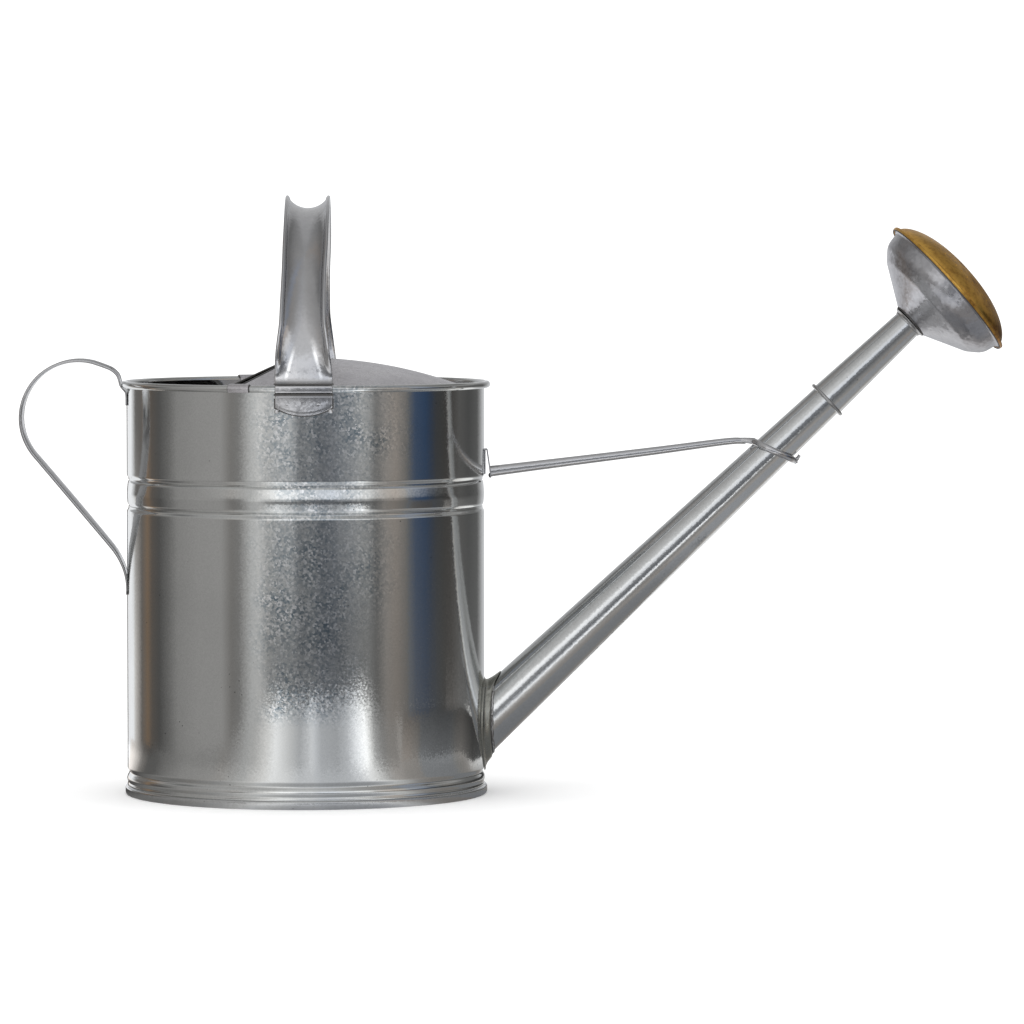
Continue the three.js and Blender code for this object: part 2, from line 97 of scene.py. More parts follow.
pull = next(joint for joint in frame["joints"] if joint["name"] == "rose_pull")
turn = next(joint for joint in frame["joints"] if joint["name"] == "rose_turn")
ALONG = Vector(pull["axis"]).normalized()  # the spout's axis, away from the can
UPWARD = Vector((-ALONG.z, 0, ALONG.x))  # square to it, on its upper side
pivot = TO_ROW.inverted() @ Vector(turn["pos_m"])
ROOT = pivot - ALONG * (pivot.x - WALL) / ALONG.x  # where the spout's axis meets the wall
SLANT = Matrix((
    (ALONG.x, 0, UPWARD.x, ROOT.x),
    (0, -1, 0, 0),
    (ALONG.z, 0, UPWARD.z, ROOT.z),
    (0, 0, 0, 1),
)) @ Matrix(((0, 0, 1, 0), (1, 0, 0, 0), (0, 1, 0, 0), (0, 0, 0, 1)))
MOUTH_AT = (pivot - ROOT).length  # the neck's mouth, along the spout's axis from the wall
SPOUT_ROOT = 17.05
SPOUT_TAPER = 0.02156
NECK_END = MOUTH_AT + 70.9
SPOUT_END = MOUTH_AT + 24
ROSE_AT = NECK_END + 1.8
LIP_AT = ROSE_AT + 31.3
LIP_R = 49.9
NECK_THROAT = 9.1
DROOP = Matrix.Rotation(math.radians(1.8), 4, "X")  # the bell sits a little below the line of the spout
YAW = Matrix.Rotation(math.radians(-2.6), 4, "Y")  # and is turned a little towards the far side
BELL = SLANT @ Matrix.Translation((0, 0, NECK_END)) @ DROOP @ YAW @ Matrix.Translation((0, 0, -NECK_END))


def spout_radius(distance):
    return SPOUT_ROOT - SPOUT_TAPER * distance


# ---- mesh helpers: points are in millimetres, and a finished piece is in metres in the row frame ----

CREASE = 38  # edges sharper than this many degrees are shaded as edges


def mesh_object(name, points, faces, material, crease=CREASE):
    mesh = bpy.data.meshes.new(name)
    mesh.from_pydata([TO_ROW @ Vector(p) for p in points], [], faces)
    tool = bmesh.new()
    tool.from_mesh(mesh)
    bmesh.ops.remove_doubles(tool, verts=tool.verts, dist=2e-6)
    bmesh.ops.dissolve_degenerate(tool, edges=tool.edges, dist=1e-7)
    bmesh.ops.recalc_face_normals(tool, faces=tool.faces)
    tool.to_mesh(mesh)
    tool.free()
    made = bpy.data.objects.new(name, mesh)
    bpy.context.scene.collection.objects.link(made)
    mesh.materials.append(material)
    smooth(made, crease)
    return made


def smooth(made, crease):
    mesh = made.data
    mesh.polygons.foreach_set("use_smooth", [True] * len(mesh.polygons))
    mesh.set_sharp_from_angle(angle=math.radians(crease))
    mesh.update()


def apply_modifiers(made, crease):
    """Replaces an object's mesh by what its modifiers make of it."""
    graph = bpy.context.evaluated_depsgraph_get()
    graph.update()
    result = bpy.data.meshes.new_from_object(made.evaluated_get(graph))
    made.modifiers.clear()
    made.data = result
    smooth(made, crease)


def carve(made, cutter, crease=CREASE):
    """Cuts one closed object out of another, and removes the cutter."""
    cut = made.modifiers.new("cut", "BOOLEAN")
    cut.operation = "DIFFERENCE"
    cut.solver = "MANIFOLD"
    cut.object = cutter
    apply_modifiers(made, crease)
    bpy.data.objects.remove(cutter)


def finish_piece(made, slot, *nodes, body="can"):
    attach(made, body)
    if nodes:
        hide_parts(*nodes)


def full_turn(count):
    """Evenly spaced angles round a circle."""
    return [2 * math.pi * i / count for i in range(count)]


def arc(x, y, radius, start, end, steps):
    """Points on an arc, as (x, y) pairs. Angles are in degrees."""
    angles = [math.radians(start + (end - start) * i / steps) for i in range(steps + 1)]
    return [(x + radius * math.cos(a), y + radius * math.sin(a)) for a in angles]


def rounded(corners, steps=5):
    """An open line through (x, y, radius) corners, each turned with an arc of its radius."""
    line = []
    for i, (x, y, radius) in enumerate(corners):
        here = Vector((x, y))
        if radius <= 0 or i in (0, len(corners) - 1):
            line.append((x, y))
            continue
        before = (Vector(corners[i - 1][:2]) - here).normalized()
        after = (Vector(corners[i + 1][:2]) - here).normalized()
        half = before.angle(after) / 2
        reach = radius / math.tan(half)
        centre = here + (before + after).normalized() * (radius / math.sin(half))
        first = here + before * reach - centre
        second = here + after * reach - centre
        sweep = first.angle_signed(second)
        for k in range(steps + 1):
            turned = Matrix.Rotation(-sweep * k / steps, 2) @ first
            line.append(tuple(centre + turned))
    return line


def normals_of(line):
    """The unit left-hand normal at each point of an open line, longer at corners."""
    found = []
    for i, point in enumerate(line):
        here = Vector(point)
        into = (here - Vector(line[i - 1])) if i else (Vector(line[1]) - here)
        out = (Vector(line[i + 1]) - here) if i < len(line) - 1 else into
        into, out = into.normalized(), out.normalized()
        mean = (into + out).normalized()
        mitre = 1 / max(0.5, mean.dot(into))
        found.append(Vector((-mean.y, mean.x)) * mitre)
    return found


def sheet_outline(line, thickness):
    """The closed outline of a sheet whose middle follows a line, with half-round edges."""
    normals = normals_of(line)
    half = thickness / 2
    left = [tuple(Vector(p) + n * half) for p, n in zip(line, normals)]
    right = [tuple(Vector(p) - n * half) for p, n in zip(line, normals)]
    if line[0][0] > 1e-6:
        back = (Vector(line[0]) - Vector(line[1])).normalized() * half * 0.7
        right.insert(0, tuple(Vector(line[0]) + back))
    if line[-1][0] > 1e-6:
        on = (Vector(line[-1]) - Vector(line[-2])).normalized() * half * 0.7
        left.append(tuple(Vector(line[-1]) + on))
    return left + right[::-1]


def lathe(name, outline, material, angles=192, matrix=None, shape=None, crease=CREASE):
    """Turns a closed outline of (radius, height) points round the Z axis."""
    if isinstance(angles, int):
        angles = full_turn(angles)
    count = len(angles)
    points, rings, faces = [], [], []
    for radius, height in outline:
        if radius < 1e-6:
            rings.append([len(points)] * count)
            points.append(Vector((0, 0, height)))
            continue
        rings.append(range(len(points), len(points) + count))
        for angle in angles:
            r, z = shape(angle, radius, height) if shape else (radius, height)
            points.append(Vector((r * math.cos(angle), r * math.sin(angle), z)))
    on_axis = outline[0][0] < 1e-6 and outline[-1][0] < 1e-6
    for i in range(len(rings) - 1 if on_axis else len(rings)):
        low, high = rings[i], rings[(i + 1) % len(rings)]
        for j in range(count):
            k = (j + 1) % count
            faces.append(list(dict.fromkeys([low[j], low[k], high[k], high[j]])))
    faces = [face for face in faces if len(face) > 2]
    if matrix is not None:
        points = [matrix @ p for p in points]
    return mesh_object(name, points, faces, material, crease)


def lofted(name, sections, material, closed_path=False, crease=CREASE):
    """A solid through closed sections, each a list of as many points, capped at its ends."""
    count = len(sections[0])
    points = [p for section in sections for p in section]
    faces = []
    for i in range(len(sections) if closed_path else len(sections) - 1):
        a, b = i * count, (i + 1) % len(sections) * count
        for j in range(count):
            k = (j + 1) % count
            faces.append([a + j, a + k, b + k, b + j])
    if not closed_path:
        faces.append(list(range(count)))
        faces.append([len(points) - count + j for j in reversed(range(count))])
    return mesh_object(name, points, faces, material, crease)


def grid_faces(columns, rows, ring=False):
    """The faces of a grid of points held column by column. A ring's last column joins its first."""
    faces = []
    for i in range(columns - 1 + ring):
        for k in range(rows - 1):
            a, b = i * rows + k, (i + 1) % columns * rows + k
            faces.append([a, b, b + 1, a + 1])
    return faces


def spline(points, count):
    """Evenly timed points on a smooth curve through tuples of any length."""
    rows = [list(p) for p in points]
    rows.insert(0, [2 * a - b for a, b in zip(rows[0], rows[1])])
    rows.append([2 * a - b for a, b in zip(rows[-1], rows[-2])])
    spans = len(rows) - 3
    made = []
    for n in range(count):
        place = n / (count - 1) * spans
        i = min(int(place), spans - 1)
        t = place - i
        four = rows[i:i + 4]
        made.append(tuple(
            0.5 * (2 * b + (c - a) * t + (2 * a - 5 * b + 4 * c - d) * t * t
                   + (3 * b - a - 3 * c + d) * t ** 3)
            for a, b, c, d in zip(*four)
        ))
    return made


def wire(name, path, radius, material, sides=14, closed_path=False, flatten=1.0, up=Vector((0, 0, 1))):
    """A round bar along a path. Its radius may be a number or one number for each point."""
    path = [Vector(p) for p in path]
    radii = radius if isinstance(radius, list) else [radius] * len(path)
    sections = []
    for i, here in enumerate(path):
        before = path[i - 1] if i or closed_path else path[i]
        after = path[(i + 1) % len(path)] if i < len(path) - 1 or closed_path else path[i]
        tangent = (after - before).normalized()
        side = tangent.cross(up)
        side = side.normalized() if side.length > 0.05 else tangent.cross(Vector((0, 1, 0))).normalized()
        lift = side.cross(tangent)
        ring = arc(0, 0, radii[i], 0, 360 - 360 / sides, sides - 1)
        sections.append([here + side * x * flatten + lift * y for x, y in ring])
    return lofted(name, sections, material, closed_path)


def join(name, objects):
    """One object out of several."""
    first = objects[0]
    tool = bmesh.new()
    for made in objects:
        tool.from_mesh(made.data)
    tool.to_mesh(first.data)
    tool.free()
    for made in objects[1:]:
        bpy.data.objects.remove(made)
    first.name = name
    smooth(first, CREASE)
    return first


def ease(value, start, end):
    """0 before start, 1 after end, and smooth between them."""
    t = min(1, max(0, (value - start) / (end - start)))
    return t * t * (3 - 2 * t)


def hump(value, centre, half):
    """A smooth bump of height 1 that is 0 further than half from its centre."""
    t = abs(value - centre) / half
    return 0.5 + 0.5 * math.cos(math.pi * t) if t < 1 else 0


# ---- materials ----

WHITE = (1, 1, 1, 1)


def shade(tone, share=1.0):
    """A share of a tone, as an opaque colour."""
    return tuple(c * share for c in tone) + (1,)


class Nodes:
    """A material's node tree, with short ways to add to it."""

    def __init__(self, name):
        self.material = bpy.data.materials.new(name)
        self.material.use_nodes = True
        self.tree = self.material.node_tree
        self.shader = self.tree.nodes["Principled BSDF"]
        self.place = self.add("ShaderNodeTexCoord").outputs["Object"]

    def feed(self, value, socket):
        if isinstance(value, bpy.types.NodeSocket):
            self.tree.links.new(value, socket)
        else:
            socket.default_value = value

    def add(self, kind, inputs=None, **settings):
        """A new node, with its settings and then its inputs by socket."""
        node = self.tree.nodes.new(kind)
        for key, value in settings.items():
            setattr(node, key, value)
        for socket, value in (inputs or {}).items():
            self.feed(value, node.inputs[socket])
        return node

    def noise(self, scale, detail=3, roughness=0.5, stretch=None):
        place = self.place
        if stretch:
            place = self.add("ShaderNodeMapping", {"Scale": stretch, "Vector": place}).outputs["Vector"]
        inputs = {"Scale": scale, "Detail": detail, "Roughness": roughness, "Vector": place}
        return self.add("ShaderNodeTexNoise", inputs).outputs["Fac"]

    def cells(self, scale, output="Color", warp=0.0):
        place = self.place
        if warp:
            bend = self.add("ShaderNodeTexNoise", {"Scale": scale * 0.7, "Vector": place})
            place = self.vector("MULTIPLY_ADD", bend.outputs["Color"], (warp, warp, warp), place)
        return self.add("ShaderNodeTexVoronoi", {"Scale": scale, "Vector": place}).outputs[output]

    def specks(self, scale, size, patch_scale, rarity):
        """Small round specks, in a few patches only."""
        dots = self.ramp(self.cells(scale, output="Distance"), 0.05, size, 1, 0)
        return self.times(dots, self.ramp(self.noise(patch_scale, detail=1), rarity, rarity + 0.06))

    def ramp(self, value, low, high, start=0.0, end=1.0):
        """Maps a value between low and high to one between start and end."""
        inputs = {"Value": value, "From Min": low, "From Max": high, "To Min": start, "To Max": end}
        return self.add("ShaderNodeMapRange", inputs, clamp=True).outputs["Result"]

    def maths(self, operation, *values):
        return self.add("ShaderNodeMath", dict(enumerate(values)), operation=operation).outputs["Value"]

    def vector(self, operation, *values):
        node = self.add("ShaderNodeVectorMath", dict(enumerate(values)), operation=operation)
        return node.outputs["Vector"]

    def times(self, first, *others):
        for value in others:
            first = self.maths("MULTIPLY", first, value)
        return first

    def mix(self, amount, a, b):
        return self.add("ShaderNodeMix", {"Factor": amount, 6: a, 7: b}, data_type="RGBA").outputs[2]

    def channels(self, colour):
        return self.add("ShaderNodeSeparateColor", {"Color": colour}).outputs

    def position(self):
        """The x, y and z of a point, as three outputs."""
        return self.add("ShaderNodeSeparateXYZ", {"Vector": self.place}).outputs

    def leaning(self, colour, amount, normal=None):
        """A normal, the surface's own if none is given, that leans a different way for each colour."""
        if normal is None:
            normal = self.add("ShaderNodeNewGeometry").outputs["Normal"]
        lean = self.vector("SUBTRACT", colour, (0.5, 0.5, 0.5))
        lean = self.vector("MULTIPLY", lean, (amount, amount, amount))
        return self.vector("NORMALIZE", self.vector("ADD", normal, lean))

    def bump(self, height, strength, distance, normal=None):
        inputs = {"Height": height, "Strength": strength, "Distance": distance}
        if normal is not None:
            inputs["Normal"] = normal
        return self.add("ShaderNodeBump", inputs).outputs["Normal"]

    def done(self, color, roughness, normal, metallic=1.0):
        for socket, value in zip(("Base Color", "Roughness", "Normal", "Metallic"),
                                 (color, roughness, normal, metallic)):
            self.feed(value, self.shader.inputs[socket])
        return self.material


def spangled(nodes, color, tone, strength):
    """Dark and pale zinc crystals in a broad patch down the front of the can."""
    x, _, z = nodes.position()
    across = nodes.maths("ADD", x, nodes.ramp(nodes.noise(14, detail=3), 0.3, 0.7, -0.02, 0.02))
    patch = nodes.times(
        nodes.ramp(across, AXIS_X - 0.040, AXIS_X - 0.012),
        nodes.ramp(across, AXIS_X + 0.036, AXIS_X + 0.056, 1, 0),
        nodes.ramp(z, 0.050, 0.062),
        nodes.ramp(nodes.noise(60, detail=4), 0.35, 0.65, 0.35, 1),
        strength,
    )
    light = nodes.channels(nodes.cells(800, warp=0.0005))
    dark = tuple(c * f for c, f in zip(tone, (0.34, 0.42, 0.49))) + (1,)
    color = nodes.mix(nodes.times(patch, nodes.ramp(light["Red"], 0, 1)), color, dark)
    return nodes.mix(nodes.times(patch, nodes.ramp(light["Blue"], 0.74, 0.87)), color, WHITE)


def galvanised(name, tone, roughness, flake, sparkle=0.10, waviness=0.35, dirt=0.25, grain=0.05, spangle=0.0):
    """Bright zinc-coated sheet: fine crystals, soft waves in the sheet, smears and a few dull specks.

    The spangle is how much the crystals differ in a broad patch down the sheet's front.
    """
    nodes = Nodes(name)
    crystals = nodes.cells(flake, warp=0.35 / flake)
    grey = nodes.channels(crystals)
    specks = nodes.specks(190, 0.11, 55, 0.60)
    bright = tuple(min(1, c * 1.02) for c in tone) + (1,)
    color = nodes.mix(nodes.ramp(grey["Red"], 0, 1, 0.1, 0.9), shade(tone, 0.94), bright)
    if spangle:
        color = spangled(nodes, color, tone, spangle)
    patches = nodes.noise(9, detail=4, roughness=0.6)
    color = nodes.mix(nodes.ramp(patches, 0.50, 0.75, 0, dirt), color, shade(tone, 0.62))
    color = nodes.mix(nodes.times(specks, 0.8), color, (0.10, 0.10, 0.10, 1))
    smears = nodes.noise(30, detail=5, roughness=0.65, stretch=(1, 1, 0.25))
    rough = nodes.times(nodes.ramp(smears, 0.3, 0.75, roughness * 0.8, roughness * 1.35),
                        nodes.ramp(grey["Green"], 0, 1, 0.8, 1.25))
    normal = nodes.leaning(crystals, sparkle)
    normal = nodes.bump(nodes.noise(7, detail=2, stretch=(1, 1, 0.45)), waviness, 0.004, normal)
    pits = nodes.maths("ADD", nodes.noise(700, detail=2), specks)
    normal = nodes.bump(pits, grain, 0.00015, normal)
    return nodes.done(color, rough, nodes.leaning(nodes.cells(flake * 3.1), sparkle * 0.25, normal))


def strap_steel(name, tone, roughness, paint_crease_highlights=False):
    """Satin zinc-coated strip with faint drawing lines and handling marks.

    Where the carrying handle is flattened at its foot, painted highlights run as white down its two creases to its
    corners.
    """
    nodes = Nodes(name)
    smears = nodes.noise(45, detail=5, roughness=0.6)
    color = nodes.mix(nodes.ramp(smears, 0.35, 0.75, 0, 0.6), shade(tone), shade(tone, 0.78))
    color = nodes.mix(nodes.times(nodes.specks(260, 0.10, 70, 0.62), 0.7), color, (0.12, 0.12, 0.12, 1))
    if paint_crease_highlights:
        x, _, z = nodes.position()
        across = nodes.maths("ABSOLUTE", nodes.maths("SUBTRACT", x, AXIS_X + HANDLE_X * MM))
        away = nodes.maths("SUBTRACT", across, nodes.ramp(z, 0.266, 0.284, 0.0107, 0.0058))
        # painted highlight: white mixed in along the two creases at the handle's foot
        painted_crease_highlight = nodes.times(
            nodes.ramp(nodes.maths("ABSOLUTE", away), 0.0004, 0.0014, 1, 0),
            nodes.ramp(z, 0.264, 0.267),
            nodes.ramp(z, 0.279, 0.285, 1, 0),
        )
        color = nodes.mix(painted_crease_highlight, color, WHITE)
    rough = nodes.ramp(nodes.noise(90, detail=4), 0.3, 0.7, roughness * 0.85, roughness * 1.25)
    normal = nodes.bump(nodes.noise(500), 0.12, 0.0002, nodes.leaning(nodes.cells(700), 0.05))
    return nodes.done(color, rough, normal)


def solder_metal(name):
    """Rough bright solder with dark flux in its hollows."""
    nodes = Nodes(name)
    lumps = nodes.noise(330, detail=5, roughness=0.7)
    color = nodes.mix(nodes.ramp(lumps, 0.40, 0.62), (0.45, 0.44, 0.43, 1), (0.97, 0.97, 0.98, 1))
    return nodes.done(color, nodes.ramp(lumps, 0.35, 0.65, 0.45, 0.20), nodes.bump(lumps, 0.6, 0.0006))


def rose_zinc(name):
    """Matte grey metal of the rose, with fine crystals and darker clouds."""
    nodes = Nodes(name)
    clouds = nodes.noise(22, detail=5, roughness=0.6)
    color = nodes.mix(nodes.ramp(clouds, 0.38, 0.66), (0.40, 0.40, 0.42, 1), (0.56, 0.56, 0.58, 1))
    mottle = nodes.cells(520, warp=0.0006)
    color = nodes.mix(nodes.ramp(nodes.channels(mottle)["Red"], 0, 1, 0, 0.16), color, (0.82, 0.82, 0.85, 1))
    rough = nodes.ramp(nodes.noise(60, detail=4), 0.3, 0.7, 0.26, 0.36)
    return nodes.done(color, rough, nodes.bump(nodes.noise(380), 0.18, 0.0003, nodes.leaning(mottle, 0.10)))


def brass_metal(name):
    """Brass with brown oxide in clouds and fine specks, and darker towards its lower edge."""
    nodes = Nodes(name)
    clouds = nodes.noise(40, detail=5, roughness=0.6)
    low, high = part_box("rose_plate")
    # darker towards the lower edge of the brass face
    drop = nodes.ramp(nodes.position()[2], low.z + 0.004, (low.z + high.z) / 2, 0.55, 0.0)
    fine = nodes.ramp(nodes.noise(260, detail=4, roughness=0.7), 0.45, 0.70, 0, 0.5)
    tarnish_and_darker_low = nodes.maths("ADD", nodes.maths("ADD", nodes.ramp(clouds, 0.42, 0.72, 0, 0.5), fine), drop)
    color = nodes.mix(nodes.ramp(tarnish_and_darker_low, 0, 1), (0.92, 0.54, 0.12, 1), (0.30, 0.13, 0.03, 1))
    rough = nodes.ramp(clouds, 0.3, 0.75, 0.26, 0.50)
    return nodes.done(color, rough, nodes.bump(nodes.noise(600), 0.12, 0.0002))


def dark_solder_and_painted_shade(name):
    """Dull dark metal: dark solder, and painted shade down in seams and between parts."""
    nodes = Nodes(name)
    lumps = nodes.noise(300, detail=4)
    color = nodes.mix(lumps, (0.10, 0.10, 0.10, 1), (0.30, 0.29, 0.28, 1))
    return nodes.done(color, nodes.ramp(lumps, 0.3, 0.7, 0.45, 0.75), nodes.bump(lumps, 0.4, 0.0004))


BODY_METAL = galvanised("galvanised_body", (0.72, 0.73, 0.72), 0.075, flake=1100, sparkle=0.012,
                        waviness=0.30, spangle=1.0)
INNER_METAL = galvanised("galvanised_base", (0.68, 0.69, 0.69), 0.13, flake=700, sparkle=0.03)
COVER_METAL = galvanised("galvanised_cover", (0.72, 0.705, 0.73), 0.33, flake=700, sparkle=0.04,
                         waviness=0.15)
SPOUT_METAL = galvanised("galvanised_spout", (0.71, 0.72, 0.72), 0.12, flake=900, sparkle=0.03,
                         waviness=0.05, grain=0.14)
# the handle strip, with painted highlights along the creases at the carrying handle's foot
STRAP_METAL = strap_steel("handle_strip", (0.63, 0.63, 0.64), 0.17, paint_crease_highlights=True)
WIRE_METAL = strap_steel("zinc_wire", (0.52, 0.52, 0.52), 0.34)
SOLDER_METAL = solder_metal("solder")
ROSE_METAL = rose_zinc("rose_zinc")
BRASS_METAL = brass_metal("rose_brass")
# dark solder, and the dark sheets and strips that paint shade in crevices
DARK_SOLDER_AND_SHADE_METAL = dark_solder_and_painted_shade("dark_solder_and_painted_shade")
# the cover's rolled edge is near-black: painted shade under the edge, where it turns down into the dark can
PAINTED_SHADE_HEM_METAL = strap_steel("cover_hem_painted_shade", (0.13, 0.13, 0.13), 0.35)
COLLAR_METAL = galvanised("collar_metal", (0.40, 0.40, 0.36), 0.30, flake=500, dirt=0.6)


# ---- the can's wall, floor and rim ----

SEAM_ANGLE = math.pi  # the lapped side seam runs down behind the rear handle
SEAM_HALF = 3.2 / WALL
SEAM_STEP = 0.45
GROOVES = (  # the height, depth and half width of each; the last but one stands out
    (181.4, 1.1, 3.0), (199.4, 1.1, 2.6), (14, 1.2, 2.9), (9.9, -0.25, 1.8), (7.6, 0.35, 1.3),
)
BEAD_LOW, BEAD_HIGH = 182, 199
CROWN_Z = 189.9  # the crown of the bead, a blunt ridge between two slopes
CROWN_ROUND = 1.0
CROWN_SLOPE = 0.098


def wall_radius(height):
    """Outside radius of the wall, with two grooves round a crowned bead and one groove near the foot."""
    radius = WALL - sum(depth * hump(height, middle, half) for middle, depth, half in GROOVES)
    if BEAD_LOW < height < BEAD_HIGH:
        radius -= CROWN_SLOPE * (math.hypot(height - CROWN_Z, CROWN_ROUND) - CROWN_ROUND)
    return radius


def steps_between(*stops):
    """Heights from (start, end, step) spans."""
    heights = []
    for start, end, step in stops:
        count = max(1, round((end - start) / step))
        heights += [start + (end - start) * i / count for i in range(count)]
    return heights + [stops[-1][1]]


def make_body_shell():
    heights = steps_between((1.3, 6, 2.4), (6, 18, 0.45), (18, 176, 16), (176, 204, 0.45), (204, RIM_Z, 9))
    line = [(wall_radius(z) - SHEET / 2, z) for z in heights]
    line += arc(RIM_R, RIM_Z, RIM_BEAD - SHEET / 2, 178, -165, 22)
    edges = [SEAM_ANGLE + SEAM_HALF * k for k in (-1.12, -1, 1, 1.12)]
    angles = sorted([a for a in full_turn(256) if abs(a - SEAM_ANGLE) > SEAM_HALF * 1.2] + edges)

    def seam(angle, radius, height):
        proud = abs(angle - SEAM_ANGLE) <= SEAM_HALF * 1.01 and 5 < height < RIM_Z - 3
        return radius + (SEAM_STEP if proud else 0), height

    shell = lathe("body_wall", sheet_outline(line, SHEET), BODY_METAL, angles, shape=seam, crease=50)
    bore = spout_radius(0) - SHEET
    carve(shell, lathe("cutter", [(0, -45), (bore, -45), (bore, 40), (0, 40)], BODY_METAL, 48, SLANT), 50)
    finish_piece(shell, "galvanised_sheet", "body_shell")


def make_base():
    inside = WALL - SHEET - 0.4
    line = rounded([
        (0, PAN_TOP, 0),
        (inside - 0.4, PAN_TOP - 0.3, 1.4),
        (inside - 0.1, 0.35, 0.9),
        (FOOT - 0.35, 0.35, 1.3),
        (FOOT - 0.35, 4.7, 0.8),
        (wall_radius(5) + 0.2, 5.2, 0),
    ])
    base = lathe("base_and_foot", sheet_outline(line, 0.7), INNER_METAL, 224)
    finish_piece(base, "galvanised_sheet", "base_pan")


def dome_height(radius):
    return DOME_TOP - DOME + math.sqrt(DOME ** 2 - radius ** 2)


HEM_R = 1.45
HEM_DROP = 1.15  # its middle lies this far under the cover's edge
MOUTH_HALF_ANGLE = math.acos(((COVER_R - 0.4) ** 2 - MOUTH_X ** 2 - MOUTH_R ** 2) / (2 * MOUTH_X * MOUTH_R))


def mouth_point(share, inset=0.0):
    """A point of the cover's cut edge, from one corner (-1) to the other (1)."""
    angle = MOUTH_HALF_ANGLE * share
    x = MOUTH_X + (MOUTH_R - inset) * math.cos(angle)
    y = (MOUTH_R - inset) * math.sin(angle)
    return Vector((x, y, dome_height(math.hypot(x, y))))


def make_cover():
    corner = mouth_point(1)
    far = math.atan2(corner.y, corner.x)
    edge = COVER_R - 1.2
    columns, rows = 96, 26
    turned_down = ((0.45, 0.25), (0.9, 0.9), (1.15, 1.9), (1.2, 4.5))
    points = []
    for j in range(columns + 1):
        share = -1 + 2 * j / columns
        start = mouth_point(share)
        cos, sin = math.cos(far * share), math.sin(far * share)
        end = Vector((edge * cos, edge * sin, 0))
        for i in range(rows + 1):
            p = start.lerp(end, i / rows)
            points.append((p.x, p.y, dome_height(math.hypot(p.x, p.y))))
        for grow, drop in turned_down:
            points.append(((edge + grow) * cos, (edge + grow) * sin, dome_height(edge) - drop))
    faces = grid_faces(columns + 1, rows + 1 + len(turned_down))
    cover = mesh_object("cover_dome", points, faces, COVER_METAL, 30)
    upwards = sum(face.normal.z for face in cover.data.polygons)
    thick = cover.modifiers.new("thick", "SOLIDIFY")
    thick.thickness = SHEET * MM
    thick.offset = -1 if upwards > 0 else 1
    apply_modifiers(cover, 40)
    finish_piece(cover, "galvanised_sheet", "cover")
    # the rolled edge has near-black metal: painted shade under the cover's edge
    path = [mouth_point(-0.985 + 1.97 * j / 80, 0.5) - Vector((0, 0, HEM_DROP)) for j in range(81)]
    hem = wire("cover_rolled_edge", path, HEM_R, PAINTED_SHADE_HEM_METAL)
    finish_piece(hem, "zinc_wire", "cover_edge_wire")


CLIP_ANGLE = math.radians(20)  # how far behind the handle's line each clip sits
CLIP_HALF = 6.6


def make_clip(side, name, node):
    """A clip from the cover's corner, over the rim and down outside it, with a dark sheet under it that paints the
    shade beneath the clip.
    """
    line = [(104, dome_height(104) + 0.75), (107.5, dome_height(107.5) + 0.75)]
    line += rounded([(109.5, dome_height(109.5) + 0.8, 0), (110.9, 253.6, 1.5), (111.2, 256.5, 0)])
    line += arc(RIM_R - 0.1, RIM_Z, RIM_BEAD + 0.65, 172, -48, 20)

    def bent(name, outline, half_width, material):
        sections = []
        for i in range(13):
            t = -1 + i / 6
            angle = CLIP_ANGLE + half_width / RIM_R * t
            squeeze = 1 - 0.02 * abs(t) ** 6
            sections.append([
                Vector((-r * math.sin(angle), side * r * math.cos(angle), RIM_Z + (z - RIM_Z) * squeeze))
                for r, z in outline
            ])
        return lofted(name, sections, material)

    clip = bent(name, sheet_outline(line, SHEET), CLIP_HALF, COVER_METAL)
    finish_piece(clip, "galvanised_sheet", node)
    # painted shade: a dark sheet just under the clip, showing round its edges
    under = arc(RIM_R - 0.1, RIM_Z, RIM_BEAD + 0.22, 160, -58, 20)
    painted_shade_sheet = bent(name + "_gap", sheet_outline(under, 0.2), CLIP_HALF + 0.6, DARK_SOLDER_AND_SHADE_METAL)
    finish_piece(painted_shade_sheet, "galvanised_sheet")


# ---- the two handles: strips with folded hems, curled into a gutter ----


def strap_section(half, curl, hem, level=0.0):
    """A closed outline across the strip, as (sideways, depth) pairs, level this far each way."""
    flat, turns = 40, 7
    outline, curled = [], []
    edge = (STRAP + hem) / 2
    end = half - edge * 0.9
    for side in (1, -1):
        for i in range(flat + 1):
            share = side * (-1 + 2 * i / flat)
            thick = STRAP / 2 + hem / 2 * (1 - ease(half - abs(share) * end, edge * 2.9, edge * 3.3))
            outline.append((share * end, side * thick))
        for i in range(1, turns):
            angle = math.pi * i / turns
            outline.append((side * (end + edge * 0.9 * math.sin(angle)), side * edge * math.cos(angle)))
    total = curl * half
    spread = 1 - ease(level, 0.5, 12)
    knee = 2.4 + (0.65 * half - 2.4) * spread
    for x, depth in outline:
        past = max(0.0, abs(x) - level)
        along, deep, turned = min(abs(x), level), 0.0, 0.0
        for share, length in ((0.65, knee), (0.35, max(0.1, half - level - knee))):
            step = min(past, length)
            bend = share * total / length
            if step > 0 and bend > 1e-5:
                along += (math.sin(turned + bend * step) - math.sin(turned)) / bend
                deep += (math.cos(turned) - math.cos(turned + bend * step)) / bend
                turned += bend * step
            else:
                along += step * math.cos(turned)
                deep += step * math.sin(turned)
            past -= step
        side = 1 if x > 0 else -1
        along += past * math.cos(turned)
        deep += past * math.sin(turned)
        curled.append((side * (along - math.sin(turned) * depth), deep + math.cos(turned) * depth))
    return curled


def beside_can(out, sideways, follow):
    """A point this far out and sideways, bent round the can's axis by a share."""
    angle = sideways / max(1, abs(out))
    bent = (abs(out) * math.cos(angle) * (1 if out > 0 else -1), abs(out) * math.sin(angle))
    return out + (bent[0] - out) * follow, sideways + (bent[1] - sideways) * follow


